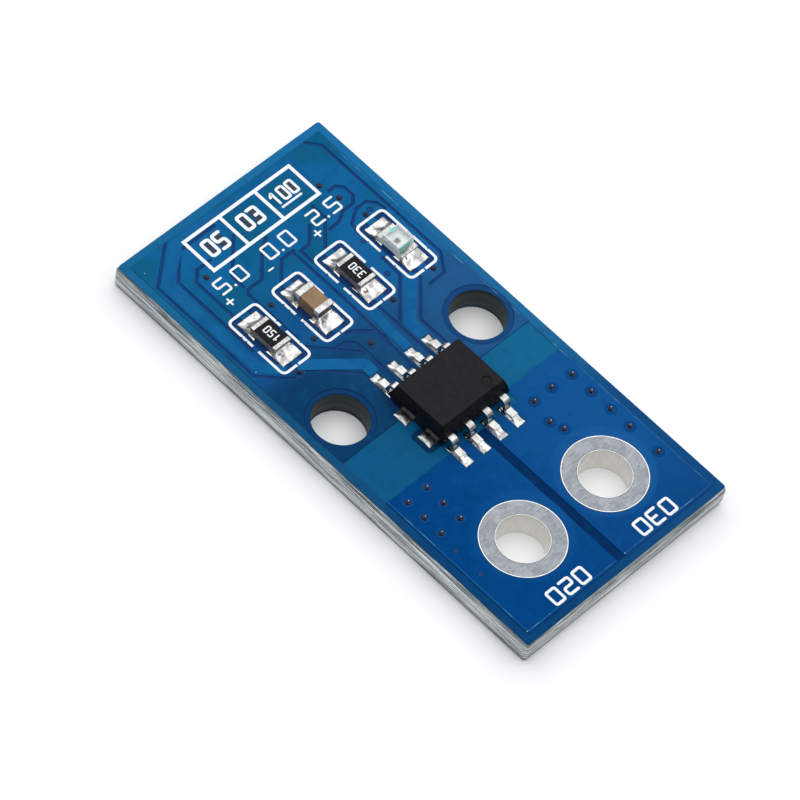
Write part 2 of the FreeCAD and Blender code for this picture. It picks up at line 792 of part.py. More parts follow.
def lead_path(direction):
    """Middle line of a gull-wing lead, from its root in the housing to its toe."""
    thick = size("lead_thickness")
    level = size("lead_level")
    tip = size("lead_span") / 2
    knee = tip - size("lead_foot")
    body = size("chip_width") / 2
    root = body - size("lead_root")
    shoulder = knee - size("lead_knee_inset")
    points = [(root, level), (shoulder, level), (knee, thick / 2), (tip, thick / 2)]
    return [(direction * x, z) for x, z in points]


def lead_sketch(body, name, direction):
    sketch = body.newObject("Sketcher::SketchObject", name)
    attach(sketch, body, "XZ_Plane")
    outline = ribbon(lead_path(direction), size("lead_thickness"), size("lead_bend"))
    sketch.addGeometry(outline, False)
    return sketch


def chip_place(row=None):
    place = {"x": "Sizes.chip_place", "z": chip_seat()}
    if row is not None:
        place["y"] = f"Sizes.chip_pitch * {1.5 - row}"
    return place


def current_loop():
    """Pins 1 to 4 and the copper loop that joins them under the hall die."""
    body = new_body("chip_current_loop", chip_place())
    first = lead_sketch(body, "loop_lead_section", 1)
    first.setExpression("AttachmentOffset.Base.z", "-1.5 * Sizes.chip_pitch")
    lead = pad(body, "loop_lead", first, "Sizes.lead_width", symmetric=True)
    row = body.newObject("PartDesign::LinearPattern", "loop_leads")
    row.Originals = [lead]
    row.Direction = (first, ["N_Axis"])
    row.Occurrences = 4
    row.setExpression("Length", "3 * Sizes.chip_pitch")
    body.Tip = row
    doc.recompute()
    root = size("chip_width") / 2 - size("lead_root") + size("lead_width") / 2
    slot = size("loop_slot") / 2
    wing = 1.5 * size("chip_pitch") + size("lead_width") / 2
    neck = slot + size("die_width") / 4
    bend = -size("die_length") / 2
    throat = -bend / 4
    half = [(root, slot), (bend + size("loop_slot"), slot)]
    outer = [(bend, neck), (throat, neck), (throat * 2, wing), (root, wing)]
    loop = half + [(x, -y) for x, y in half[::-1]] + [(x, -y) for x, y in outer[::-1]] + outer
    flat = polygon_sketch(body, "loop_outline", "XY_Plane", loop,
                          offset="Sizes.lead_level - Sizes.lead_thickness / 2")
    pad(body, "loop_plate", flat, "Sizes.lead_thickness")
    return body


def signal_lead(pin):
    """One of the leads 5 to 8, with its root held in the housing."""
    label = f"chip_lead_{pin}"
    body = new_body(label, chip_place(row=8 - pin))
    sketch = lead_sketch(body, f"{label}_section", -1)
    pad(body, f"{label}_strip", sketch, "Sizes.lead_width", symmetric=True)
    return body


def chip_insides():
    """The insulating film on the loop and the die on the film, both sealed in the housing."""
    seat = chip_seat()
    middle = "Sizes.chip_place - Sizes.loop_slot / 2"
    loop_top = f"{seat} + Sizes.lead_level + Sizes.lead_thickness / 2"
    film = block("chip_film", "Sizes.die_length + 2 * Sizes.film_margin",
                 "Sizes.die_width + 2 * Sizes.film_margin",
                 "Sizes.film_thickness", middle, "0", loop_top)
    die = block("chip_die", "Sizes.die_length", "Sizes.die_width", "Sizes.die_thickness",
                middle, "0", f"{loop_top} + Sizes.film_thickness")
    return [film, die]


def chip_housing(inside):
    """Moulded housing: tapered both ways from its parting line, bevelled along pins 1 to 4."""
    body = new_body("chip_moulding", chip_place())
    foot = "Sizes.chip_rise"
    crown = "Sizes.chip_rise + Sizes.chip_body"
    sections = []
    for name, inset, height in (("foot", "Sizes.chip_draft_foot", foot),
                                ("parting", "0", "Sizes.lead_level"),
                                ("crown", "Sizes.chip_draft_top", crown)):
        sections.append(rectangle_sketch(body, f"chip_{name}", "XY_Plane",
                                         f"Sizes.chip_width - 2 * {inset}",
                                         f"Sizes.chip_length - 2 * {inset}", offset=height))
    doc.recompute()
    loft = body.newObject("PartDesign::AdditiveLoft", "chip_block")
    loft.Profile = sections[0]
    loft.Sections = sections[1:]
    loft.Ruled = True
    doc.recompute()

    top = size("chip_rise") + size("chip_body")
    side = size("chip_width") / 2 - size("chip_draft_top")
    slope = [(side - size("chip_bevel_width") + size("chip_draft_top") / 2, top),
             (side + size("chip_draft_top"), top),
             (side + size("chip_draft_top"), top - size("chip_bevel_drop"))]
    bevel = polygon_sketch(body, "chip_bevel_section", "XZ_Plane", slope)
    pocket(body, "chip_bevel", bevel)

    across = size("chip_width") / 2 - size("chip_draft_top") - size("chip_mark_inset")
    along = size("chip_length") / 2 - size("chip_draft_top") - size("chip_mark_inset")
    mark = circles_sketch(body, "chip_mark", "XY_Plane", [(across, along, "Sizes.chip_mark_bore")],
                          offset=crown)
    pocket(body, "chip_mark_dimple", mark, "Sizes.chip_mark_depth")

    seats = doc.addObject("Part::MultiFuse", "chip_seats")
    seats.Shapes = inside
    housing = doc.addObject("Part::Cut", "chip_housing")
    housing.Label = "chip_housing"
    housing.Base = body
    housing.Tool = seats
    doc.recompute()
    return housing


def wrap_end(label, direction, side, part, height, cover):
    """A metal end wrapped round one end of a small part: plate on the end and over both faces."""
    length = f"Sizes.{part}_length"
    wrap = f"Sizes.{part}_end"
    plating = f"Sizes.{part}_plating"
    outer = block(f"{label}_outer", wrap, f"Sizes.{part}_width", height,
                  f"Sizes.row_place + {direction} * ({length} - {wrap}) / 2", side, chip_seat())
    inner = block(f"{label}_inner", wrap, cover, f"{height} - 2 * {plating}",
                  f"Sizes.row_place + {direction} * (({length} - {wrap}) / 2 - {plating})", side,
                  f"{chip_seat()} + {plating}")
    end = doc.addObject("Part::Cut", label)
    end.Label = label
    end.Base = outer
    end.Tool = inner
    doc.recompute()
    return end


def row_side(index):
    return f"Sizes.row_first - {index} * Sizes.row_pitch"


def resistor(label, index):
    """Ceramic bar with a black glaze on top and a metal end at each side."""
    side = row_side(index)
    plating = "Sizes.resistor_plating"
    core_height = f"Sizes.resistor_thickness - 2 * {plating}"
    block(f"{label}_core", f"Sizes.resistor_length - 2 * {plating}", "Sizes.resistor_width",
          core_height, "Sizes.row_place", side, f"{chip_seat()} + {plating}")
    block(f"{label}_glaze", "Sizes.resistor_length - 2 * Sizes.resistor_end", "Sizes.resistor_width",
          "Sizes.glaze_thickness", "Sizes.row_place", side,
          f"{chip_seat()} + Sizes.resistor_thickness - {plating}")
    ends = [wrap_end(f"{label}_end_{number}", direction, side, "resistor", "Sizes.resistor_thickness",
                     "Sizes.resistor_width") for number, direction in ((1, -1), (2, 1))]
    return [f"{label}_core", f"{label}_glaze"] + [end.Label for end in ends]


def capacitor(index):
    """Layered ceramic body in metal ends that cap all four sides."""
    side = row_side(index)
    plating = "Sizes.capacitor_plating"
    block("capacitor_body", f"Sizes.capacitor_length - 2 * {plating}",
          f"Sizes.capacitor_width - 2 * {plating}", f"Sizes.capacitor_thickness - 2 * {plating}",
          "Sizes.row_place", side, f"{chip_seat()} + {plating}")
    ends = [wrap_end(f"capacitor_end_{number}", direction, side, "capacitor", "Sizes.capacitor_thickness",
                     f"Sizes.capacitor_width - 2 * {plating}") for number, direction in ((1, -1), (2, 1))]
    return ["capacitor_body"] + [end.Label for end in ends]


def lamp(index):
    """Chip lamp: base with a terminal folded round each end, die on the base, tapered clear lens."""
    side = row_side(index)
    plating = "Sizes.lamp_plating"
    seat = chip_seat()
    block("lamp_base", f"Sizes.lamp_length - 2 * {plating}", "Sizes.lamp_width",
          f"Sizes.lamp_base - 2 * {plating}", "Sizes.row_place", side, f"{seat} + {plating}")
    terminals = []
    for number, direction in ((1, -1), (2, 1)):
        outer = block(f"lamp_terminal_{number}_outer", "Sizes.lamp_terminal", "Sizes.lamp_width",
                      "Sizes.lamp_base",
                      f"Sizes.row_place + {direction} * (Sizes.lamp_length - Sizes.lamp_terminal) / 2",
                      side, seat)
        inner = block(f"lamp_terminal_{number}_inner", "Sizes.lamp_terminal", "Sizes.lamp_width",
                      f"Sizes.lamp_base - 2 * {plating}",
                      f"Sizes.row_place + {direction} * ((Sizes.lamp_length - Sizes.lamp_terminal) / 2"
                      f" - {plating})", side, f"{seat} + {plating}")
        cut = doc.addObject("Part::Cut", f"lamp_terminal_{number}")
        cut.Label = f"lamp_terminal_{number}"
        cut.Base = outer
        cut.Tool = inner
        terminals.append(cut.Label)
    doc.recompute()
    top_of_base = f"{seat} + Sizes.lamp_base - {plating}"
    die = block("lamp_die", "Sizes.lamp_die", "Sizes.lamp_die", "Sizes.lamp_die / 2",
                "Sizes.row_place", side, top_of_base)
    lens = new_body("lamp_lens_block", {"x": "Sizes.row_place", "y": side, "z": top_of_base})
    low = rectangle_sketch(lens, "lens_foot", "XY_Plane",
                           "Sizes.lamp_length - 2 * Sizes.lamp_terminal", "Sizes.lamp_width")
    shoulder = rectangle_sketch(lens, "lens_shoulder", "XY_Plane", "Sizes.lamp_lens_top",
                                "Sizes.lamp_width",
                                offset="Sizes.lamp_thickness - Sizes.lamp_base + Sizes.lamp_plating")
    doc.recompute()
    taper = lens.newObject("PartDesign::AdditiveLoft", "lens_taper")
    taper.Profile = low
    taper.Sections = [shoulder]
    taper.Ruled = True
    doc.recompute()
    clear = doc.addObject("Part::Cut", "lamp_lens")
    clear.Label = "lamp_lens"
    clear.Base = lens
    clear.Tool = die
    doc.recompute()
    return ["lamp_base", "lamp_die", "lamp_lens"] + terminals


def solder_slope(start, end, side, start_half, end_half, height, foot):
    """A hollow slope of solder between a metal end at start and the rim of its pad at end."""
    sections = []
    steps = 3
    for step in range(steps + 1):
        way = step / steps
        x = start + (end - start) * way
        half = start_half + (end_half - start_half) * math.sin(way * math.pi / 2)
        top = foot + height * (1 - way) ** SOLDER_HOLLOW + size("solder_edge")
        crest = half * SOLDER_CREST
        corners = [Vector(x, side - half, foot), Vector(x, side + half, foot),
                   Vector(x, side + crest, top), Vector(x, side - crest, top)]
        sections.append(Part.makePolygon(corners + corners[:1]))
    return Part.makeLoft(sections, True, True)


def part_solder(label, index, part_length, part_width, height):
    """Tin on the two pads of a small part, drawn up its metal ends."""
    at = levels()
    side = row_sides()[index]
    place = size("row_place")
    margin = size("solder_margin")
    joints = []
    for direction, (x, y) in zip((-1, 1), row_pads(side)):
        tin = slab(x, y, at["copper"], at["tin"])
        start = place + direction * part_length / 2
        end = place + direction * (size("row_pad_span") / 2 - margin)
        slope = solder_slope(start, end, side, part_width / 2, size("row_pad_width") / 2 - margin,
                             height, at["tin"])
        joints.append(joined([tin, slope]))
    return feature_from(label, Part.makeCompound(joints))


def chip_solder():
    """Tin on the chip's pads, drawn up the toe of each lead."""
    at = levels()
    place = size("chip_place")
    foot_half = size("lead_width") / 2
    margin = size("solder_margin")
    pad_half = size("chip_pad_width") / 2 - margin
    climb = size("lead_thickness") * SOLDER_CLIMB
    labels = []
    for direction, pins in ((1, (1, 2, 3, 4)), (-1, (8, 7, 6, 5))):
        for pin, (x, y) in zip(pins, chip_pads(direction)):
            middle = sum(y) / 2
            tin = slab(x, y, at["copper"], at["tin"])
            toe = place + direction * size("lead_span") / 2
            rim = place + direction * (size("chip_pad_reach") - margin)
            slope = solder_slope(toe, rim, middle, foot_half, pad_half, climb, at["tin"])
            labels.append(f"solder_pin_{pin}")
            feature_from(labels[-1], joined([tin, slope]))
    return labels


def spare_tin():
    """Two tinned pads with a low crown beside the chip."""
    at = levels()
    height = size("spare_pad_height")
    crowns = []
    for x, y in spare_pads():
        tin = slab(x, y, at["laminate"], at["tin"])
        rim = closed(corners_of(x, y, size("solder_edge")))
        flat = closed(corners_of(x, y, size("spare_pad_flank")))
        foot = Part.makePolygon([Vector(a, b, at["tin"]) for a, b in rim])
        crown = Part.makePolygon([Vector(a, b, at["tin"] + height) for a, b in flat])
        crowns.append(joined([tin, Part.makeLoft([foot, crown], True, True)]))
    return feature_from("spare_pad_tin", Part.makeCompound(crowns))


def corners_of(x_range, y_range, inset):
    left, right = x_range[0] + inset, x_range[1] - inset
    low, high = y_range[0] + inset, y_range[1] - inset
    return [(left, low), (right, low), (right, high), (left, high)]


def check_document():
    for item in doc.Objects:
        broken = [word for word in item.State if word in ("Invalid", "Error")]
        assert not broken, f"{item.Label} failed: {broken}"


def export(labels):
    os.makedirs("parts", exist_ok=True)
    for label in labels:
        shape = doc.getObjectsByLabel(label)[0].Shape
        assert not shape.isNull() and shape.isValid(), f"{label} has no valid shape"
        assert shape.Volume > 0, f"{label} has no volume"
        shape.exportStep(f"parts/{label}.step")
        print(f"{label}: {len(shape.Solids)} solids, {shape.Volume:.3f} mm3")


def build():
    fill_sheet()
    labels = ["circuit_board"]
    circuit_board()
    for label, side in (("terminal_in", 1), ("terminal_out", -1)):
        terminal(label, side)
        labels.append(label)
    current_path("current_path_in", 1, inlet_vias())
    current_path("current_path_out", -1, outlet_vias())
    nets = signal_nets()
    signal_copper(nets)
    labels += ["current_path_in", "current_path_out", "signal_copper"]
    mask_top(nets)
    mask_back()
    printed_outlines()
    printed_header_box()
    labels += ["solder_mask_face", "solder_mask_back", "printed_part_outlines", "printed_header_box"]

    loop = current_loop()
    leads = [signal_lead(pin) for pin in (5, 6, 7, 8)]
    insides = chip_insides()
    chip_housing([loop] + leads + insides)
    labels += ["chip_housing", loop.Label, "chip_film", "chip_die"] + [lead.Label for lead in leads]

    labels += lamp(0)
    labels += resistor("resistor_1", 1)
    labels += capacitor(2)
    labels += resistor("resistor_2", 3)
    part_solder("lamp_solder", 0, size("lamp_length"), size("lamp_width"),
                size("lamp_base") * SOLDER_CLIMB)
    for label, index in (("resistor_1_solder", 1), ("resistor_2_solder", 3)):
        part_solder(label, index, size("resistor_length"), size("resistor_width"),
                    size("resistor_thickness") * SOLDER_CLIMB)
    part_solder("capacitor_solder", 2, size("capacitor_length"), size("capacitor_width"),
                size("capacitor_thickness") * CAPACITOR_CLIMB)
    labels += ["lamp_solder", "resistor_1_solder", "capacitor_solder", "resistor_2_solder"]
    labels += chip_solder()
    spare_tin()
    labels.append("spare_pad_tin")
    doc.recompute()
    check_document()
    export(labels)


build()
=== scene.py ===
"""Hall effect current sensor: the surfaces, print, solder and fine relief of its board.

Metres, in the same frame as the solids. Lengths below are written in millimetres and are turned
into metres by MM where a mesh is made.
"""
import json
import math

import bmesh
import bpy
from mathutils import Matrix, Vector


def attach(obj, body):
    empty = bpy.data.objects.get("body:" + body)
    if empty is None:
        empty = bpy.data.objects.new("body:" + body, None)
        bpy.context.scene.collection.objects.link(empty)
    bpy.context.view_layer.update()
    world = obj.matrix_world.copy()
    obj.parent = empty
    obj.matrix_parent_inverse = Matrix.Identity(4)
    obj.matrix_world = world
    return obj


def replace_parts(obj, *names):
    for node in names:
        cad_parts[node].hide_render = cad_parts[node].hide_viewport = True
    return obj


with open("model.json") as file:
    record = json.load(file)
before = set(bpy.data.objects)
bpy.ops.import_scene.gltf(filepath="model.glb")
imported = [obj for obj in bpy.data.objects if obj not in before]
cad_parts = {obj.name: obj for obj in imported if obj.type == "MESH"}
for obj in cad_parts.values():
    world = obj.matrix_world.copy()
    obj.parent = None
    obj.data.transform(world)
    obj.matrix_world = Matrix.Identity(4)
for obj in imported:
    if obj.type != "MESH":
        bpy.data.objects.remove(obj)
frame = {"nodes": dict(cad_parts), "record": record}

MM = 0.001
QUARTER = math.pi / 2
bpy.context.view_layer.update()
nodes = frame["nodes"]
scene = bpy.context.scene

# Tops of the board's layers: laminate, copper, lacquer in its dips and over copper, print, tinned rings.
LAMINATE = 1.5
COPPER = 1.57
DIP = 1.565
FACE = 1.6
PRINT = 1.62
TIN = 1.63

# Edges of the copper, half across the board and half along it, and where the planes begin.
COPPER_SIDE = 6.85
COPPER_END = 14.5
SIGNAL_END = 1.15
PLANE_START = 4.4
PLANE_STEP = 3.5
PLANE_STEP_SIDE = 2.85
PLANE_SPLIT = 0.32

# The row of small parts, the chip, the pads beside it, the terminals and the mounting holes.
ROW_X = -6.68
ROW_Y = (4.93, 1.81, -1.31, -4.43)
ROW_PAD_INNER = 0.44
ROW_PAD_OUTER = 1.74
ROW_PAD_HALF = 0.72
CHIP_X = 1.97
CHIP_Y = (1.905, 0.635, -0.635, -1.905)
CHIP_PAD_LENGTH = 1.56
CHIP_PAD_WIDTH = 0.62
CHIP_PAD_REACH = 3.56
CHIP_TOE = 3.0
SPARE_X = (1.24, 2.98)
SPARE_Y = -2.48
SPARE_HALF_LENGTH = 0.46
SPARE_HALF_WIDTH = 0.34
TERMINAL_X = 10.42
TERMINAL_Y = 3.05
TERMINAL_BORE = 1.425
MOUNT_X = -0.77
MOUNT_Y = 5.08
MOUNT_RADIUS = 1.575
RESISTOR_TOP = 2.12

# Via holes: along the board's edge, beside the inlet terminal, in the outlet plane and in the signals.
INLET_VIAS = [(x, 6.17) for x in (5.02, 6.42, 7.82, 9.22, 11.27)]
INLET_VIAS += [(4.9, 4.75), (4.93, 3.43), (6.35, 3.15), (7.12, 3.4)]
OUTLET_VIAS = [(x, y) for y in (-4.65, -6.03) for x in (5.05, 6.26, 7.47)]
SIGNAL_VIAS = [(-11.55, -4.28), (-4.23, -4.67), (-10.73, 4.67), (-4.28, 2.27), (-8.13, -2.88),
               (-5.2, -2.65), (-9.05, 5.0), (-4.33, 5.33), (-11.95, 4.4), (-3.1, -0.55)]

# Bright spots painted as highlights on corners of the lacquer, and vias that it has filled.
GLINT_PLACES = [(14.4, 0.36), (14.4, -6.83), (-13.79, -6.57), (-5.64, -6.43)]
FILLED_VIAS = [(8.7, -6.2), (10.5, -6.2), (-9.17, 5.4), (-7.95, 3.7), (-5.65, 3.2)]


# Materials

def linear(code):
    """Linear colour for a hexadecimal code."""
    values = [int(code[i:i + 2], 16) / 255 for i in (1, 3, 5)]
    return (*[v / 12.92 if v <= 0.04045 else ((v + 0.055) / 1.055) ** 2.4 for v in values], 1.0)


class Look:
    """A material in the making, with short names for the shader nodes in use."""

    def __init__(self, name, **sockets):
        self.material = bpy.data.materials.new(name)
        self.material.use_nodes = True
        self.tree = self.material.node_tree
        self.shader = self.tree.nodes["Principled BSDF"]
        self.place = None
        self.set(**sockets)

    def set(self, **sockets):
        """Feeds sockets of the surface shader, with underscores for the spaces in their names."""
        for socket, value in sockets.items():
            self.feed(self.shader.inputs[socket.replace("_", " ")], value)
        return self.material

    def feed(self, socket, value):
        if isinstance(value, bpy.types.NodeSocket):
            self.tree.links.new(value, socket)
        else:
            socket.default_value = value

    def node(self, kind, **settings):
        made = self.tree.nodes.new(kind)
        for name, value in settings.items():
            setattr(made, name, value)
        return made

    def coords(self):
        """Place on the object, in millimetres."""
        if self.place is None:
            source = self.node("ShaderNodeTexCoord")
            scaled = self.node("ShaderNodeVectorMath", operation="SCALE")
            self.feed(scaled.inputs[0], source.outputs["Object"])
            scaled.inputs["Scale"].default_value = 1 / MM
            self.place = scaled.outputs[0]
        return self.place

    def axes(self):
        split = self.node("ShaderNodeSeparateXYZ")
        self.feed(split.inputs[0], self.coords())
        return split.outputs[0], split.outputs[1], split.outputs[2]

    def plan(self):
        """Place on the object seen from above."""
        return self.axes()[:2]

    def calc(self, operation, first, second=0.0):
        made = self.node("ShaderNodeMath", operation=operation)
        self.feed(made.inputs[0], first)
        self.feed(made.inputs[1], second)
        return made.outputs[0]

    def add(self, first, second):
        return self.calc("ADD", first, second)

    def times(self, first, second):
        return self.calc("MULTIPLY", first, second)

    def larger(self, first, second):
        return self.calc("MAXIMUM", first, second)

    def inverse(self, value):
        return self.calc("SUBTRACT", 1.0, value)

    def apart(self, value, middle):
        """Distance between two values."""
        return self.calc("ABSOLUTE", self.calc("SUBTRACT", value, middle))

    def step(self, value, low, high):
        """0 below low and 1 above high, smooth between."""
        made = self.node("ShaderNodeMapRange", interpolation_type="SMOOTHSTEP")
        self.feed(made.inputs["Value"], value)
        made.inputs["From Min"].default_value = low
        made.inputs["From Max"].default_value = high
        return made.outputs["Result"]

    def fade(self, value, low, high):
        """1 below low and 0 above high, smooth between."""
        return self.inverse(self.step(value, low, high))

    def stretch(self, x, y, z):
        made = self.node("ShaderNodeVectorMath", operation="MULTIPLY")
        self.feed(made.inputs[0], self.coords())
        made.inputs[1].default_value = (x, y, z)
        return made.outputs[0]

    def noise(self, scale, detail=3.0, roughness=0.55, vector=None):
        made = self.node("ShaderNodeTexNoise")
        self.feed(made.inputs["Vector"], vector or self.coords())
        made.inputs["Scale"].default_value = scale
        made.inputs["Detail"].default_value = detail
        made.inputs["Roughness"].default_value = roughness
        return made.outputs["Fac"]

    def mix(self, share, first, second):
        """A colour between two, each a hexadecimal code or a node's output."""
        made = self.node("ShaderNodeMix", data_type="RGBA")
        self.feed(made.inputs["Factor"], share)
        for socket, value in ((made.inputs[6], first), (made.inputs[7], second)):
            self.feed(socket, linear(value) if isinstance(value, str) else value)
        return made.outputs[2]

    def away(self, x, y, middle):
        """Distance in plan from a point."""
        dx = self.calc("SUBTRACT", x, middle[0])
        dy = self.calc("SUBTRACT", y, middle[1])
        return self.calc("SQRT", self.add(self.times(dx, dx), self.times(dy, dy)))

    def bump(self, height, depth, normal=None):
        """Relief of a height between 0 and 1, with its depth in millimetres."""
        made = self.node("ShaderNodeBump")
        made.inputs["Distance"].default_value = depth * MM
        self.feed(made.inputs["Height"], height)
        if normal is not None:
            self.feed(made.inputs["Normal"], normal)
        return made.outputs["Normal"]

    def rounded(self, radius):
        """Normals that run round the edges."""
        made = self.node("ShaderNodeBevel", samples=4)
        made.inputs["Radius"].default_value = radius * MM
        return made.outputs["Normal"]


def lacquer(name, raised_over_copper):
    """Blue solder mask: deep over copper, greener over bare laminate, dark in the narrow gaps, with a
    painted sheen that makes it lighter towards +Y.
    """
    look = Look(name, Specular_IOR_Level=0.01)
    x, y, z = look.axes()
    cloud = look.noise(0.35, 3.0, 0.55)
    drift = look.times(look.calc("SUBTRACT", cloud, 0.5), 3.0)
    # Every colour mixed by up is lighter towards +Y: painted sheen of the light across the lacquer.
    up = look.step(look.add(y, drift), -5.5, 6.0)
    along = look.step(look.add(x, drift), -13.5, -2.0)
    far = look.step(look.add(x, drift), 1.5, 8.0)

    west = look.mix(look.step(cloud, 0.42, 0.62), "#0d587f", "#105e93")
    row = look.mix(up, "#124f86", "#165f97")
    east = look.mix(up, "#0b3960", "#215485")
    signal = look.mix(look.step(look.add(x, drift), -10.0, -7.0), west, row)
    signal = look.mix(look.step(x, -5.6, -3.6), signal, east)
    high = look.mix(look.step(x, 9.0, 14.5), "#11508d", "#0d4580")
    plane = look.mix(up, "#003f7c", high)
    bare = look.mix(up, "#0e557f", "#14618a")
    near_strip = look.mix(up, "#18628e", "#1c6a9f")
    near_strip = look.mix(along, near_strip, look.mix(up, "#154c76", "#206494"))
    strip = look.mix(far, near_strip, look.mix(up, "#0b3f6e", "#11477a"))

    beyond_start = look.step(x, PLANE_START - 0.05, PLANE_START)
    beyond_step = look.times(look.step(x, PLANE_STEP - 0.05, PLANE_STEP),
                             look.step(y, PLANE_STEP_SIDE - 0.05, PLANE_STEP_SIDE))
    in_plane = look.larger(beyond_start, beyond_step)
    past_signal = look.step(x, SIGNAL_END + 0.05, SIGNAL_END + 0.1)
    colour = look.mix(past_signal, signal, look.mix(in_plane, bare, plane))
    beyond_end = look.calc("SUBTRACT", look.calc("ABSOLUTE", x), COPPER_END)
    beyond_side = look.calc("SUBTRACT", look.calc("ABSOLUTE", y), COPPER_SIDE)
    beyond = look.larger(beyond_end, beyond_side)
    border = look.step(beyond, 0.0, 0.06)

    if raised_over_copper:
        low = look.fade(z, DIP + 0.006, FACE - 0.006)
        gap = look.mix(in_plane, "#1b3c70", "#042a58")
        in_band = look.times(past_signal, look.inverse(in_plane))
        colour = look.mix(look.times(low, look.inverse(in_band)), colour, gap)
        colour = look.mix(border, colour, strip)
        pale = look.mix(up, "#054785", "#1b5896")
        dark = look.mix(up, "#0d3863", "#1a4273")
        for side in (1, -1):
            ring = look.away(x, y, (TERMINAL_X - 0.12, side * TERMINAL_Y + 0.1))
            # A pale crescent round each terminal, off centre to the same side for both: painted highlight
            # on the mask.
            colour = look.mix(look.times(look.fade(ring, 2.66, 2.86), 0.6), colour, pale)
            hole = look.away(x, y, (MOUNT_X, side * MOUNT_Y))
            colour = look.mix(look.fade(hole, 1.85, 1.97), colour, dark)
        # The pad beside the chip stands in a dark window of its own.
        past_end = look.calc("SUBTRACT", look.apart(x, SPARE_X[1]), SPARE_HALF_LENGTH)
        past_side = look.calc("SUBTRACT", look.apart(y, SPARE_Y), SPARE_HALF_WIDTH)
        window = look.away(look.larger(past_end, 0.0), look.larger(past_side, 0.0), (0.0, 0.0))
        colour = look.mix(look.times(look.fade(window, 0.26, 0.32), 0.85), colour, "#0a2c4e")
    else:
        colour = look.mix(border, colour, strip)
        colour = look.mix(look.step(beyond, 0.42, 0.46), colour, "#6d777c")
        # The split between the two planes, and the vias, which the lacquer covers on this side.
        split = look.fade(look.calc("ABSOLUTE", y), PLANE_SPLIT - 0.03, PLANE_SPLIT + 0.03)
        colour = look.mix(look.times(split, look.times(in_plane, look.inverse(border))), colour, "#0b3f66")
        nearest = 1.0
        for place in INLET_VIAS + OUTLET_VIAS + SIGNAL_VIAS:
            nearest = look.calc("MINIMUM", nearest, look.away(x, y, place))
        collar = look.times(look.step(nearest, 0.13, 0.16), look.fade(nearest, 0.28, 0.32))
        colour = look.mix(look.times(collar, 0.6), colour, "#2f6aa3")
        colour = look.mix(look.fade(nearest, 0.1, 0.14), colour, "#031a36")

    fine = look.noise(1.7, 4.0, 0.6)
    colour = look.mix(look.times(look.step(fine, 0.5, 0.8), 0.22), colour, "#06649b")
    colour = look.mix(look.times(look.step(fine, 0.5, 0.2), 0.25), colour, "#04284f")
    waves = look.noise(0.8, 3.0, 0.5)
    grain = look.noise(11.0, 2.0, 0.5)
    relief = look.add(waves, look.times(grain, 0.05))
    rough = look.add(0.2, look.times(look.noise(3.0, 3.0), 0.16))
    return look.set(Base_Color=colour, Roughness=rough,
                    Normal=look.bump(relief, 0.012, look.rounded(0.04)))


def trace_lacquer():
    """The same mask where it stands over a wide trace, a little brighter."""
    look = Look("trace_lacquer", Specular_IOR_Level=0.02)
    cloud = look.noise(0.8, 3.0, 0.6)
    colour = look.mix(look.step(cloud, 0.35, 0.65), "#0b568b", "#145f95")
    grain = look.noise(11.0, 2.0, 0.5)
    return look.set(Base_Color=colour, Roughness=look.add(0.2, look.times(cloud, 0.12)),
                    Normal=look.bump(grain, 0.001))


def edge_lacquer():
    """The rolled edge of the mask along the copper, painted pale in patches as highlights where it would
    catch the light.
    """
    look = Look("edge_lacquer", Roughness=0.3, Specular_IOR_Level=0.1)
    painted_glint_patches = look.noise(0.7, 4.0, 0.65)
    # Pale patches along the edge are painted highlights.
    colour = look.mix(look.step(painted_glint_patches, 0.5, 0.68), "#1c568a", "#5f9ab4")
    return look.set(Base_Color=colour, Normal=look.bump(look.noise(9.0), 0.002))


def glass_epoxy():
    """Layers of glass cloth seen as long streaks on the broken edge, with painted glints on the fibres,
    stained dark in the holes.
    """
    look = Look("laminate", Roughness=0.5, Specular_IOR_Level=0.3)
    x, y, z = look.axes()
    threads = look.noise(1.0, 4.0, 0.6, look.stretch(0.15, 0.15, 10))
    fibres = look.noise(1.0, 4.0, 0.65, look.stretch(0.35, 0.35, 26))
    colour = look.mix(look.step(threads, 0.43, 0.57), "#364149", "#b0b9bf")
    pale = look.times(look.step(z, 0.3, 0.45), look.fade(z, 0.55, 0.75))
    colour = look.mix(look.times(pale, 0.5), colour, "#d5dbdf")
    # Darker over the top of the edge, under the mask: painted shade.
    colour = look.mix(look.times(look.step(z, 0.95, 1.15), 0.4), colour, "#4b565e")
    # Near-white streaks on the fibres are painted glints.
    painted_fibre_glints = look.step(fibres, 0.5, 0.58)
    colour = look.mix(painted_fibre_glints, colour, "#fbfdfd")
    shaded = look.times(look.step(fibres, 0.47, 0.4), 0.85)
    colour = look.mix(shaded, colour, "#232e36")
    blot = look.noise(0.7, 3.0, 0.6, look.stretch(1, 1, 2.5))
    # Green resin shows under the face, where the blade scored the panel.
    scored = look.times(look.step(z, 1.12, 1.3), look.step(blot, 0.35, 0.6))
    colour = look.mix(look.times(scored, 0.6), colour, "#64797a")
    stain = look.mix(look.step(threads, 0.35, 0.65), "#0d1516", "#3b4a48")
    for side in (1, -1):
        hole = look.away(x, y, (MOUNT_X, side * MOUNT_Y))
        colour = look.mix(look.fade(hole, MOUNT_RADIUS + 0.025, MOUNT_RADIUS + 0.045), colour, stain)
    relief = look.add(threads, look.times(fibres, 0.5))
    return look.set(Base_Color=colour, Normal=look.bump(relief, 0.04))


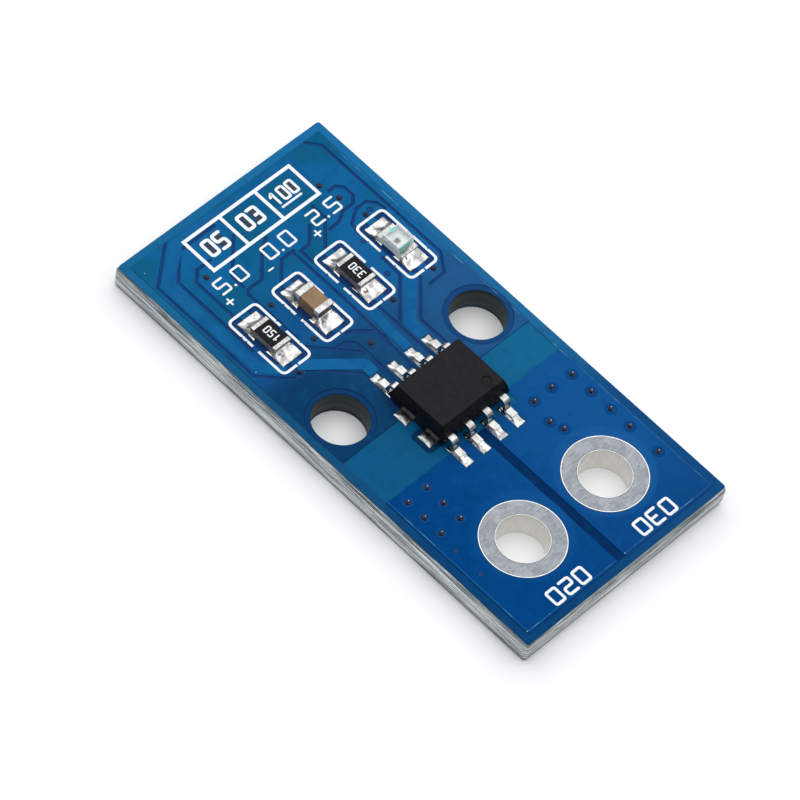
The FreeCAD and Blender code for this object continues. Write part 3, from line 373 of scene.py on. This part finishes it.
def tin_ring():
    """Satin tin on the terminals, with short cross scratches; the barrels are painted lighter and less
    metallic, as painted light on their walls.
    """
    look = Look("terminal_tin")
    x, y = look.plan()
    grain = look.noise(7.0, 4.0, 0.65)
    blot = look.noise(1.4, 3.0, 0.6)
    scratch = look.noise(1.0, 3.0, 0.6, look.stretch(26, 2.2, 2.2))
    shade = look.add(look.times(grain, 0.3), look.add(look.times(blot, 0.3), look.times(scratch, 0.4)))
    colour = look.mix(look.step(shade, 0.38, 0.62), "#7f838a", "#a3a7ad")
    middle = look.away(x, look.calc("ABSOLUTE", y), (TERMINAL_X, TERMINAL_Y))
    inside = look.fade(middle, TERMINAL_BORE + 0.015, TERMINAL_BORE + 0.035)
    streaks = look.noise(1.0, 3.0, 0.6, look.stretch(6, 6, 1))
    # Painted light: the bore walls get a lighter, less metallic copy of the tin.
    colour = look.mix(inside, colour, look.mix(streaks, "#cfcdc7", "#f2f0ec"))
    rough = look.add(0.42, look.times(grain, 0.16))
    metal = look.calc("SUBTRACT", 0.9, look.times(inside, 0.65))
    return look.set(Base_Color=colour, Roughness=rough, Metallic=metal,
                    Normal=look.bump(look.add(grain, scratch), 0.002, look.rounded(0.05)))


def solder():
    """Reflowed solder: mirror-like, with slow ripples, painted shade in the creases, a few dull grains and
    brown flux in corners.
    """
    look = Look("solder", Metallic=1.0)
    x, y = look.plan()
    ripple = look.noise(1.5, 1.0, 0.4)
    grain = look.noise(20.0, 3.0, 0.6)
    patches = look.noise(2.2, 2.0, 0.5)
    colour = look.mix(look.step(patches, 0.38, 0.6), "#a2a2a2", "#e9e9e7")
    # Dark lines painted where the facets that the tin froze into meet: painted shade and dark reflection in
    # the creases.
    painted_crease_shade = look.apart(look.noise(1.3, 0.0, 0.5), 0.5)
    colour = look.mix(look.times(look.step(painted_crease_shade, 0.02, 0.006), 0.5), colour, "#5a5b5c")
    colour = look.mix(look.times(look.step(grain, 0.5, 0.3), 0.4), colour, "#7d7d7c")
    spots = look.step(look.noise(5.0, 3.0, 0.6), 0.42, 0.56)
    for row in ROW_Y:
        corner = look.fade(look.away(x, y, (ROW_X + 1.15, row - 0.34)), 0.08, 0.24)
        colour = look.mix(look.times(look.times(corner, spots), 0.9), colour, "#43221a")
    rough = look.add(0.12, look.times(look.step(ripple, 0.4, 0.8), 0.2))
    return look.set(Base_Color=colour, Roughness=rough,
                    Normal=look.bump(look.add(ripple, look.times(grain, 0.01)), 0.05))


def plated(name, dark, light, roughness, edge):
    """Tinned metal with a fine drawn grain."""
    look = Look(name, Metallic=1.0)
    grain = look.noise(1.0, 4.0, 0.6, look.stretch(5, 22, 22))
    blot = look.noise(3.0, 3.0, 0.6)
    shade = look.add(look.times(grain, 0.5), look.times(blot, 0.5))
    colour = look.mix(look.step(shade, 0.3, 0.7), dark, light)
    rough = look.add(roughness - 0.06, look.times(blot, 0.12))
    return look.set(Base_Color=colour, Roughness=rough,
                    Normal=look.bump(grain, 0.002, look.rounded(edge)))


def speckled(name, dark, light, roughness, scale, depth, specular, edge):
    """Moulded, fired or printed surface with a fine grain."""
    look = Look(name, Specular_IOR_Level=specular)
    grain = look.noise(scale, 4.0, 0.7)
    blot = look.noise(scale / 8, 3.0, 0.6)
    shade = look.add(look.times(grain, 0.6), look.times(blot, 0.4))
    colour = look.mix(look.step(shade, 0.35, 0.65), dark, light)
    rough = look.add(roughness - 0.06, look.times(grain, 0.14))
    return look.set(Base_Color=colour, Roughness=rough,
                    Normal=look.bump(grain, depth, look.rounded(edge)))


def from_lamp(look):
    """The larger of a place's two distances from the lamp's middle, along and across."""
    x, y = look.plan()
    return look.larger(look.apart(x, ROW_X), look.apart(y, ROW_Y[0]))


def lamp_floor():
    """The lamp's base: pale green laminate with a white square round the die."""
    look = Look("lamp_base", Roughness=0.5)
    grain = look.noise(12.0, 3.0, 0.6)
    green = look.mix(grain, "#d3e6df", "#eef6f2")
    colour = look.mix(look.step(from_lamp(look), 0.4, 0.44), "#fdfefe", green)
    return look.set(Base_Color=colour, Normal=look.bump(grain, 0.004))


def lamp_chip():
    """The lamp's die, with a dark ring round its bond."""
    look = Look("lamp_die", Roughness=0.35)
    radius = look.away(*look.plan(), (ROW_X, ROW_Y[0]))
    ring = look.times(look.step(radius, 0.05, 0.065), look.fade(radius, 0.085, 0.1))
    grain = look.noise(16.0, 3.0, 0.6)
    colour = look.mix(ring, look.mix(grain, "#b4babb", "#d4d9d9"), "#22282b")
    return look.set(Base_Color=colour, Normal=look.bump(grain, 0.001))


def clear_resin():
    """Whitish resin of the lamp, a little cloudy."""
    look = Look("lamp_lens", Roughness=0.1)
    cloud = look.noise(2.2, 3.0, 0.6)
    colour = look.mix(look.step(cloud, 0.3, 0.6), "#eef5f3", "#ffffff")
    milky = look.step(from_lamp(look), 0.42, 0.6)
    return look.set(Base_Color=colour, Alpha=look.add(0.24, look.times(milky, 0.36)),
                    Normal=look.bump(look.noise(5.0), 0.006, look.rounded(0.05)))


LOOKS = {
    "laminate": glass_epoxy(),
    "mask_face": lacquer("mask_face", True),
    "mask_back": lacquer("mask_back", False),
    "copper": plated("copper", "#a0603c", "#c98a5e", 0.35, 0.02),
    "print": speckled("print", "#e4e7ea", "#fdfefe", 0.6, 14.0, 0.002, 0.3, 0.01),
    "terminal_tin": tin_ring(),
    "solder": solder(),
    "moulding": speckled("moulding", "#050507", "#17171b", 0.34, 16.0, 0.004, 0.13, 0.06),
    "lead": plated("lead", "#969695", "#e2e2e0", 0.2, 0.04),
    "film": speckled("film", "#8a5a20", "#a06c2c", 0.35, 12.0, 0.002, 0.4, 0.01),
    "die": speckled("die", "#3c3e44", "#54565c", 0.25, 12.0, 0.001, 0.5, 0.01),
    "ceramic": speckled("ceramic", "#5c5e5f", "#858786", 0.5, 18.0, 0.002, 0.3, 0.03),
    "glaze": speckled("glaze", "#0a0b0d", "#17181b", 0.3, 12.0, 0.001, 0.1, 0.02),
    "capacitor": speckled("capacitor", "#7a5f45", "#957656", 0.42, 10.0, 0.002, 0.4, 0.04),
    "end_metal": plated("end_metal", "#858583", "#dddcda", 0.26, 0.05),
    "lamp_base": lamp_floor(),
    "lamp_lens": clear_resin(),
    "lamp_die": lamp_chip(),
}
TRACE_LACQUER = trace_lacquer()
EDGE_LACQUER = edge_lacquer()
# Near-black dishes in the vias: painted shade of the open holes.
VIA_DISH = speckled("via_dish", "#020c1c", "#0a2244", 0.15, 8.0, 0.002, 0.3, 0.02)
VIA_COLLAR = speckled("via_collar", "#023f7a", "#094787", 0.26, 2.0, 0.002, 0.03, 0.02)
SLATE = speckled("slate", "#1b2b3c", "#2c3f52", 0.4, 8.0, 0.002, 0.2, 0.01)
FILLED_VIA = speckled("filled_via", "#053568", "#0b4077", 0.26, 6.0, 0.002, 0.15, 0.02)
PAD_TIN = plated("pad_tin", "#5f6464", "#e4e7e6", 0.3, 0.03)
TURQUOISE = speckled("turquoise", "#37b9b3", "#7fdcd5", 0.35, 6.0, 0.002, 0.4, 0.01)

for entry in frame["record"]["subparts"]:
    part = nodes[entry["node"]]
    part.data.materials.clear()
    part.data.materials.append(LOOKS[entry["material_slot"]])


# Meshes

def offset_line(path, distance, closed=False):
    """The line beside a path, to its left where the distance is above zero."""
    n = len(path)
    beside = []
    for i, point in enumerate(path):
        ways = []
        if closed or i > 0:
            ways.append((point - path[i - 1]).normalized())
        if closed or i < n - 1:
            ways.append((path[(i + 1) % n] - point).normalized())
        way = sum(ways, Vector((0, 0))).normalized()
        reach = max(way.dot(ways[0]), 0.5)
        beside.append(point + Vector((-way.y, way.x)) * distance / reach)
    return beside


def eased(points, radius, closed=False):
    """A line whose corners are turned into short arcs of a few steps."""
    steps = 4
    path = [Vector(p) for p in points]
    n = len(path)
    line = []
    for i, corner in enumerate(path):
        if not closed and i in (0, n - 1):
            line.append(corner)
            continue
        before = path[i - 1] - corner
        after = path[(i + 1) % n] - corner
        cut = min(radius, before.length * 0.49, after.length * 0.49)
        start = corner + before.normalized() * cut
        finish = corner + after.normalized() * cut
        for step in range(steps + 1):
            t = step / steps
            line.append(start * (1 - t) ** 2 + corner * 2 * t * (1 - t) + finish * t ** 2)
    return line


class Shape:
    """Points and faces gathered for one piece, in millimetres."""

    def __init__(self):
        self.points = []
        self.faces = []

    def add(self, points, faces):
        base = len(self.points)
        self.points += points
        self.faces += [tuple(i + base for i in face) for face in faces]

    def plate(self, outline, bottom=FACE, top=PRINT):
        """A flat plate on a plan outline."""
        n = len(outline)
        points = [(x, y, z) for z in (bottom, top) for x, y in outline]
        faces = [tuple(range(n)), tuple(range(n, 2 * n))]
        faces += [(i, (i + 1) % n, n + (i + 1) % n, n + i) for i in range(n)]
        self.add(points, faces)

    def turned(self, profile, base, centre, sides=28):
        """A closed profile of radii and heights above a base, turned about an upright line."""
        n = len(profile)
        points = []
        for i in range(sides):
            a = 2 * math.pi * i / sides
            c, s = math.cos(a), math.sin(a)
            points += [(centre[0] + r * c, centre[1] + r * s, base + z) for r, z in profile]
        faces = []
        for i in range(sides):
            j = (i + 1) % sides
            faces += [(i * n + k, j * n + k, j * n + (k + 1) % n, i * n + (k + 1) % n) for k in range(n)]
        self.add(points, faces)

    def swept(self, path, section, closed=False):
        """A closed section of offsets and heights carried along a plan line."""
        rails = [offset_line(path, offset, closed) for offset, _ in section]
        n = len(section)
        points = []
        for i in range(len(path)):
            points += [(rail[i].x, rail[i].y, z) for rail, (_, z) in zip(rails, section)]
        last = len(path) if closed else len(path) - 1
        faces = []
        for i in range(last):
            j = (i + 1) % len(path)
            faces += [(i * n + k, j * n + k, j * n + (k + 1) % n, i * n + (k + 1) % n) for k in range(n)]
        if not closed:
            faces.append(tuple(range(n)))
            faces.append(tuple((len(path) - 1) * n + k for k in range(n)))
        self.add(points, faces)

    def strip(self, path, width, closed=False):
        """A printed strip along a plan line, cut square at its ends."""
        half = width / 2
        self.swept(path, [(half, FACE), (half, PRINT), (-half, PRINT), (-half, FACE)], closed)

    def piece(self, name, slot, smooth=False, look=None):
        """The finished mesh, riding on the board."""
        mesh = bpy.data.meshes.new(name)
        mesh.from_pydata([tuple(c * MM for c in p) for p in self.points], [], self.faces)
        edit = bmesh.new()
        edit.from_mesh(mesh)
        bmesh.ops.recalc_face_normals(edit, faces=edit.faces)
        edit.to_mesh(mesh)
        edit.free()
        for polygon in mesh.polygons:
            polygon.use_smooth = smooth
        mesh.materials.append(look or LOOKS[slot])
        made = bpy.data.objects.new(name, mesh)
        scene.collection.objects.link(made)
        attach(made, "root")
        return made


# Print

def stroke(shape, points, width, closed=False):
    """A printed line of even width with round ends."""
    path = eased(points, width * 0.75, closed)
    shape.strip(path, width, closed)
    if closed:
        return
    for end, before in ((path[-1], path[-2]), (path[0], path[1])):
        way = end - before
        angle = math.atan2(way.y, way.x)
        arc = [angle + QUARTER * (1 - k / 3) for k in range(7)]
        shape.plate([(end.x + width / 2 * math.cos(a), end.y + width / 2 * math.sin(a)) for a in arc])


# Digits as single lines in a cell one wide and one high.
DIGITS = {
    "0": ([(0, 0), (1, 0), (1, 1), (0, 1)], True),
    "1": ([(0.1, 0.72), (0.6, 1), (0.6, 0)], False),
    "2": ([(0, 1), (1, 1), (1, 0.5), (0, 0.5), (0, 0), (1, 0)], False),
    "3": ([(0, 1), (1, 1), (1, 0), (0, 0)], False),
    "5": ([(1, 1), (0, 1), (0, 0.5), (1, 0.5), (1, 0), (0, 0)], False),
}


# Kinds of numbers: breadth and height of a digit, the way to the next one, and the line's width.
LABEL = (0.62, 0.84, 0.9, 0.125)
TERMINAL_LABEL = (0.62, 0.85, 0.95, 0.155)
HEADING = (0.5, 0.98, 0.76, 0.19)
SMALL_HEADING = (0.4, 0.8, 0.62, 0.15)
RESISTOR_NUMBER = (0.2, 0.44, 0.34, 0.07)


def write(shape, text, corner, kind, turn):
    """Prints a number. Corner is the lower left end of its first line, and turn its direction."""
    breadth, height, spacing, width = kind
    along = Vector((math.cos(turn), math.sin(turn)))
    upward = Vector((-along.y, along.x))
    start = Vector(corner)
    for sign in text:
        if sign == ".":
            spot = start + (along + upward) * width * 0.15
            radius = width * 0.6
            ring = [k * math.pi / 6 for k in range(12)]
            shape.plate([(spot.x + radius * math.cos(a), spot.y + radius * math.sin(a)) for a in ring])
            start += along * (spacing - breadth) * 1.35
            continue
        line, closed = DIGITS[sign]
        stroke(shape, [start + along * u * breadth + upward * v * height for u, v in line], width, closed)
        if sign == "3":
            ends = (breadth * 0.25, breadth - width / 2)
            shape.strip([start + along * u + upward * height / 2 for u in ends], width)
        start += along * spacing


def cross(shape, place, size, width):
    """A printed plus sign."""
    far, near = size / 2, width / 2
    corners = []
    for c, s in ((1, 0), (0, 1), (-1, 0), (0, -1)):
        corners += [(c * x - s * y, s * x + c * y) for x, y in ((far, -near), (far, near), (near, near))]
    shape.plate([(place[0] + x, place[1] + y) for x, y in corners])


labels = Shape()
# Beside the header, read along +Y with their tops towards it.
for text, first in (("5.0", -4.35), ("0.0", -0.88), ("2.5", 2.48)):
    write(labels, text, (-10.2, first), LABEL, QUARTER)
cross(labels, (-9.65, -4.4), 0.5, 0.1)
cross(labels, (-9.82, 2.18), 0.5, 0.1)
stroke(labels, [(-9.75, -1.48), (-9.75, -1.16)], 0.09)
# At the terminal end, read the other way.
for text, first in (("030", 4.42), ("020", -2.03)):
    write(labels, text, (13.46, first), TERMINAL_LABEL, -QUARTER)
labels.piece("printed_numbers", "print")

# The heavy numbers in the header box, with a dark film inside their lines.
headings = Shape()
fillings = Shape()
for text, x, y, kind in (("05", -12.27, -3.07, HEADING), ("03", -12.27, -0.5, HEADING),
                         ("100", -12.46, 1.8, SMALL_HEADING)):
    write(headings, text, (x, y), kind, QUARTER)
    breadth, height, spacing, _ = kind
    for index, sign in enumerate(text):
        if sign != "1":
            low = y + index * spacing
            block = [(x, low), (x, low + breadth), (x - height, low + breadth), (x - height, low)]
            fillings.plate(block, FACE, FACE + 0.006)
stroke(headings, [(-12.2, 1.95), (-12.2, 3.3)], 0.13)
headings.piece("printed_header_numbers", "print")
fillings.piece("header_number_fillings", "mask_face", look=SLATE)


# Half the breadth of a nick in the print, how far it keeps from a line's ends, and its depth as a
# share of the line's width.
NICK_HALF = 0.07
NICK_MARGIN = 0.1
NICK_DEPTH = 0.55


def worn_bar(shape, ends, y, width, nicks, inward):
    """A straight printed line along X whose edge away from the part has small nicks."""
    first, last = sorted(ends)
    edge = []
    for nick in sorted(nicks):
        if first + NICK_MARGIN < nick < last - NICK_MARGIN:
            edge += [(nick - NICK_HALF, 0.0), (nick, width * NICK_DEPTH), (nick + NICK_HALF, 0.0)]
    edge = [(first, 0.0)] + edge + [(last, 0.0)]
    outline = [(x, y + inward * (depth - width / 2)) for x, depth in edge]
    outline += [(last, y + inward * width / 2), (first, y + inward * width / 2)]
    shape.plate(outline)


# Outlines round the small parts: a gap in the long sides, a nick in the short ones, worn in places.
OUTLINE_LINE = 0.15
OUTLINE_REACH = 2.085
OUTLINE_SIDE = 1.005
OUTLINE_BEND = 0.66
OUTLINE_GAP = 0.21
WORN_LOW = ((-1.05, 0.95), (-0.96, 0.78), (-1.05, -0.6, 0.42), (-0.97, -0.62, 0.3))
WORN_HIGH = ((1.25,), (), (), (-0.55, 1.2))
outlines = Shape()
for y, low, high in zip(ROW_Y, WORN_LOW, WORN_HIGH):
    for side in (1, -1):
        for edge, nicks in ((1, high), (-1, low)):
            bend = ROW_X + side * (OUTLINE_REACH - OUTLINE_BEND)
            line = y + edge * OUTLINE_SIDE
            worn_bar(outlines, (ROW_X + side * OUTLINE_GAP, bend), line, OUTLINE_LINE,
                     [ROW_X + nick for nick in nicks], -edge)
            reach = ROW_X + side * OUTLINE_REACH
            corner = [(bend, line), (reach, line), (reach, y + edge * (0.03 + 0.02 * side))]
            outlines.strip(eased(corner, OUTLINE_BEND - 0.005), OUTLINE_LINE)
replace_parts(outlines.piece("printed_outlines", "print"), "printed_part_outlines")


# Lacquer over the wide traces, and its bright edges

def bead(shape, points, width, height, radius):
    """A low rounded strip of lacquer along a trace."""
    half = width / 2
    section = [(half, FACE - 0.01), (half, FACE + height * 0.5), (half * 0.85, FACE + height),
               (-half * 0.85, FACE + height), (-half, FACE + height * 0.5), (-half, FACE - 0.01)]
    shape.swept(eased(points, radius), section)


# Each wide trace with its width.
WIDE_TRACES = (
    ([(-14.05, 4.6), (-14.05, -4.02), (-12.46, -6.16), (-5.78, -6.16), (-4.72, -5.1)], 0.62),
    ([(-4.62, -4.47), (-2.4, -1.72), (-1.65, -1.72)], 0.66),
    ([(-4.92, 4.18), (-2.72, 1.95), (-1.65, 1.95)], 0.66),
    ([(-4.5, 0.88), (-3.2, 0.8), (-1.65, 0.73)], 0.56),
)
TRACE_RISE = 0.012
TRACE_BEND = 0.12
traces = Shape()
for points, width in WIDE_TRACES:
    bead(traces, points, width, TRACE_RISE, TRACE_BEND)
traces.piece("trace_lacquer", "mask_face", look=TRACE_LACQUER)

# Each bright edge with its width and height.
RIM_SIDE = 6.8
RIM_END = 14.42
BRIGHT_EDGES = (
    ([(-13.9, 6.77), (1.0, 6.77)], 0.04, 0.006),
    ([(1.3, RIM_SIDE), (3.3, RIM_SIDE)], 0.05, 0.008),
    ([(PLANE_STEP, RIM_SIDE), (RIM_END, RIM_SIDE), (RIM_END, PLANE_SPLIT + 0.05)], 0.035, 0.005),
    ([(PLANE_START, -RIM_SIDE), (RIM_END, -RIM_SIDE), (RIM_END, -PLANE_SPLIT - 0.05)], 0.035, 0.005),
)
RIM_BEND = 0.1
rims = Shape()
for points, width, rise in BRIGHT_EDGES:
    bead(rims, points, width, rise, RIM_BEND)
rims.piece("lacquer_edges", "mask_face", look=EDGE_LACQUER)

# Bright spots painted as highlights on corners of the lacquer, and one at each via of the planes.
GLINT_DOME = ((0.001, -0.03), (0.001, 0.01), (0.02, 0.008), (0.035, -0.03))
glint_shape = Shape()
for place in GLINT_PLACES + [(x - 0.06, y + 0.13) for x, y in INLET_VIAS + OUTLET_VIAS]:
    glint_shape.turned(GLINT_DOME, FACE, place, 10)
glint_shape.piece("painted_glints_on_lacquer", "print", True)


# Rims of the terminal rings, in a whiter copy of the tin: painted highlight along their edges

OUTER_RIM = ((2.27, -0.004), (2.3, 0.01), (2.335, 0.006), (2.345, -0.03), (2.27, -0.03))
INNER_RIM = ((1.43, -0.03), (1.435, 0.004), (1.455, 0.01), (1.48, -0.002), (1.48, -0.03))
edges = Shape()
for side in (1, -1):
    for profile in (OUTER_RIM, INNER_RIM):
        edges.turned(profile, TIN, (TERMINAL_X, side * TERMINAL_Y), 72)
# A whiter, glossier copy of the tin: painted highlight.
edges.piece("terminal_rims", "terminal_tin", True, plated("terminal_rim", "#d4d5d6", "#fbfbfb", 0.22, 0.01))


# Vias

# The sunk middle of a via, the raised collar in a plane, the collar in the signals, and a filled via.
DISH = ((0.001, -0.07), (0.09, -0.055), (0.15, -0.012), (0.175, 0.004),
        (0.19, 0.004), (0.19, -0.06), (0.14, -0.09), (0.001, -0.09))
COLLAR = ((0.19, -0.01), (0.19, 0.004), (0.25, 0.005), (0.34, 0.0005), (0.34, -0.01))
SIGNAL_COLLAR = ((0.18, -0.01), (0.18, 0.008), (0.34, 0.006), (0.36, -0.01))
FILLING = ((0.001, -0.01), (0.001, 0.005), (0.1, 0.004), (0.18, 0.0005), (0.18, -0.01))
dishes = Shape()
collars = Shape()
filled = Shape()
for place in INLET_VIAS + OUTLET_VIAS + SIGNAL_VIAS:
    dishes.turned(DISH, FACE, place)
for place in INLET_VIAS + OUTLET_VIAS:
    collars.turned(COLLAR, FACE, place, 36)
for place in SIGNAL_VIAS:
    filled.turned(SIGNAL_COLLAR, COPPER, place)
for place in FILLED_VIAS:
    filled.turned(FILLING, FACE, place)
dishes.piece("via_dishes", "mask_face", True, VIA_DISH)
collars.piece("via_collars", "mask_face", True, VIA_COLLAR)
filled.piece("filled_vias", "mask_face", True, FILLED_VIA)


# Solder

# The height that pools rise from, and the breadth of the rim where they turn down.
POOL_BASE = TIN - 0.04
POOL_RIM = 0.1


def pool(shape, x_range, y_range, height, columns, rows, foot=COPPER):
    """A pool of solder on a pad. Height gives its surface from a place and its share of the rim's fall."""
    top = []
    for j in range(rows + 1):
        for i in range(columns + 1):
            # The columns and rows crowd towards the rim, where the surface turns down.
            s = (1 - math.cos(math.pi * i / columns)) / 2
            t = (1 - math.cos(math.pi * j / rows)) / 2
            x = x_range[0] + (x_range[1] - x_range[0]) * s
            y = y_range[0] + (y_range[1] - y_range[0]) * t
            rim = min(x - x_range[0], x_range[1] - x), min(y - y_range[0], y_range[1] - y)
            inland = [min(1.0, distance / POOL_RIM) for distance in rim]
            fall = math.prod(math.sqrt(max(0.0, share * (2 - share))) for share in inland)
            top.append((x, y, POOL_BASE + height(x, y, fall)))
    line = columns + 1
    faces = [(j * line + i, j * line + i + 1, (j + 1) * line + i + 1, (j + 1) * line + i)
             for j in range(rows) for i in range(columns)]
    rim = list(range(line)) + [j * line + columns for j in range(1, rows + 1)]
    rim += [rows * line + i for i in range(columns - 1, -1, -1)]
    rim += [j * line for j in range(rows - 1, 0, -1)]
    n = len(top)
    m = len(rim)
    points = top + [(top[i][0], top[i][1], foot) for i in rim]
    faces += [(rim[k], n + k, n + (k + 1) % m, rim[(k + 1) % m]) for k in range(m)]
    faces.append(tuple(n + k for k in range(m)))
    shape.add(points, faces)


def ripple(x, y, seed):
    """Slow unevenness of a surface, the same on every run."""
    return math.sin(x * 4.1 + seed * 1.7) * math.cos(y * 3.3 + seed * 2.3)


def end_joint(shape, side, direction, part_end, part_half, climb, seed):
    """The joint at one end of a small part, hollow from its metal end down to the pad's rim."""
    outer = ROW_X + direction * ROW_PAD_OUTER
    inner = ROW_X + direction * ROW_PAD_INNER
    end = ROW_X + direction * part_end
    run = abs(outer - end)

    def height(x, y, fall):
        out = max((x - end) * direction, 0.0) / run
        across = abs(y - side)
        lift = 0.0
        if (x - end) * direction > -0.03:
            spread = part_half - 0.07 + 0.25 * out
            lift = climb * (1 - out) ** 2 * max(0.0, 1 - max(across - spread, 0.0) / 0.3) ** 1.5
        # Surface tension draws the tin into the pad's corners, with a ridge towards each.
        ridge = 0.035 * out * max(0.0, 1 - abs(across - 0.45 * out - 0.15) / 0.25)
        return fall * (0.055 + lift + ridge + 0.006 * ripple(x, y, seed))

    y_range = (side - ROW_PAD_HALF, side + ROW_PAD_HALF)
    pool(shape, sorted((outer, inner)), y_range, height, 36, 28)


# Each small part's joints, with half the part's length and width and the height that they climb.
JOINTS = (("lamp_solder", 0.95, 0.6, 0.2), ("resistor_1_solder", 0.925, 0.56, 0.26),
          ("capacitor_solder", 0.89, 0.55, 0.32), ("resistor_2_solder", 0.925, 0.56, 0.26))
for index, (node, end, half, climb) in enumerate(JOINTS):
    joint = Shape()
    for direction in (-1, 1):
        end_joint(joint, ROW_Y[index], direction, end, half, climb, index * 2 + direction)
    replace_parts(joint.piece(f"{node}_pools", "solder", True), node)


def toe_joint(pin, side, middle):
    """The joint of one chip lead: a thin pool round the foot that rises to its toe."""
    outer = CHIP_X + side * CHIP_PAD_REACH
    inner = outer - side * CHIP_PAD_LENGTH
    toe = CHIP_X + side * CHIP_TOE
    run = abs(outer - toe)

    def height(x, y, fall):
        out = max((x - toe) * side, 0.0) / run
        across = abs(y - middle)
        slope = (1 - out) ** 2 if (x - toe) * side > -0.66 else 0.0
        beside = max(0.0, 1 - max(across - 0.2, 0.0) / 0.11) ** 1.4
        ridge = 0.03 * out * max(0.0, 1 - abs(across - 0.22 * out) / 0.12)
        return fall * (0.05 + 0.15 * slope * beside + ridge + 0.004 * ripple(x, y, pin))

    blob = Shape()
    half = CHIP_PAD_WIDTH / 2
    pool(blob, sorted((outer, inner)), (middle - half, middle + half), height, 30, 18)
    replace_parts(blob.piece(f"solder_pool_{pin}", "solder", True), f"solder_pin_{pin}")


for side, pins in ((1, (1, 2, 3, 4)), (-1, (8, 7, 6, 5))):
    for pin, middle in zip(pins, CHIP_Y):
        toe_joint(pin, side, middle)


def spare_joint(shape, middle):
    """The low dome of tin on a pad beside the chip."""
    def height(x, y, fall):
        dome = 1 - ((x - middle) / SPARE_HALF_LENGTH) ** 2
        dome *= 1 - ((y - SPARE_Y) / SPARE_HALF_WIDTH) ** 2
        return fall * (0.05 + 0.05 * dome + 0.006 * ripple(3 * x, 3 * y, 20))

    x_range = (middle - SPARE_HALF_LENGTH, middle + SPARE_HALF_LENGTH)
    y_range = (SPARE_Y - SPARE_HALF_WIDTH, SPARE_Y + SPARE_HALF_WIDTH)
    pool(shape, x_range, y_range, height, 22, 18, LAMINATE)


spare = Shape()
for middle in SPARE_X:
    spare_joint(spare, middle)
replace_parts(spare.piece("spare_pad_pools", "solder", True, PAD_TIN), "spare_pad_tin")


# Marks on the small parts

numbers = Shape()
lift = RESISTOR_TOP - FACE - 0.004
for index, text in ((1, "330"), (3, "150")):
    digits = Shape()
    write(digits, text, (ROW_X + 0.5, ROW_Y[index] + 0.24), RESISTOR_NUMBER, math.pi)
    numbers.add([(x, y, z + lift) for x, y, z in digits.points], digits.faces)
numbers.piece("resistor_numbers", "print")

# Turquoise marks: a strip on the end face of the lamp's resin and a smaller one on its top.
marks = Shape()
marks.plate([(-6.05, 4.42), (-6.035, 4.42), (-6.035, 5.2), (-6.05, 5.2)], 2.02, 2.34)
marks.plate([(-7.25, 4.76), (-7.1, 4.74), (-7.06, 5.2), (-7.2, 5.22)], 2.375, 2.385)
marks.piece("lamp_marks", "lamp_base", look=TURQUOISE)


# Camera, light and floor

bpy.ops.mesh.primitive_plane_add(size=6, location=(0, 0, -0.02 * MM))
floor = bpy.context.object
floor.name = "floor"
ground = Look("floor", Roughness=0.9, Specular_IOR_Level=0.1)
paper = ground.mix(ground.noise(0.02, 2.0), "#f6f6f6", "#f9f9f9")
floor.data.materials.append(ground.set(Base_Color=paper))

# The camera looks down from the near right, 0.3 m away. Its lens and sensor are in millimetres.
CAMERA_PLACE = Vector((94.219, -143.737, 247.858))
CAMERA_RIGHT = Vector((0.70175, 0.69943, 0.13543))
CAMERA_UP = Vector((-0.6397, 0.53495, 0.55192))
CAMERA_BACK = Vector((0.31358, -0.47395, 0.82282))
CAMERA_LENS = 262.23
CAMERA_SENSOR = 36
lens = bpy.data.cameras.new("camera")
lens.sensor_width = CAMERA_SENSOR
lens.lens = CAMERA_LENS
lens.clip_start = 0.02
lens.clip_end = 20
camera = bpy.data.objects.new("camera", lens)
scene.collection.objects.link(camera)
turn = Matrix((CAMERA_RIGHT, CAMERA_UP, CAMERA_BACK)).transposed()
camera.matrix_world = Matrix.Translation(CAMERA_PLACE * MM) @ turn.to_4x4()
scene.camera = camera


def soft_light(name, place, size, power):
    """A square light aimed at the object."""
    data = bpy.data.lights.new(name, "AREA")
    data.shape = "SQUARE"
    data.size = size
    data.energy = power
    made = bpy.data.objects.new(name, data)
    scene.collection.objects.link(made)
    made.location = place
    made.rotation_euler = (-Vector(place)).to_track_quat("-Z", "Y").to_euler()


soft_light("top", (-0.12, 0.14, 0.72), size=1.6, power=9.0)

# The room is bright overhead and dim near the floor.
LOW_LIGHT = (0.1, 0.105, 0.11, 1)
HIGH_LIGHT = (0.5, 0.515, 0.525, 1)
world = bpy.data.worlds.new("studio")
scene.world = world
world.use_nodes = True
tree = world.node_tree
way = tree.nodes.new("ShaderNodeTexCoord")
split = tree.nodes.new("ShaderNodeSeparateXYZ")
rise = tree.nodes.new("ShaderNodeMapRange")
rise.interpolation_type = "SMOOTHSTEP"
rise.inputs["From Min"].default_value = 0.05
rise.inputs["From Max"].default_value = 0.6
sky = tree.nodes.new("ShaderNodeMix")
sky.data_type = "RGBA"
sky.inputs[6].default_value = LOW_LIGHT
sky.inputs[7].default_value = HIGH_LIGHT
tree.links.new(way.outputs["Generated"], split.inputs[0])
tree.links.new(split.outputs[2], rise.inputs["Value"])
tree.links.new(rise.outputs["Result"], sky.inputs["Factor"])
tree.links.new(sky.outputs[2], tree.nodes["Background"].inputs["Color"])
scene.view_settings.view_transform = "Standard"
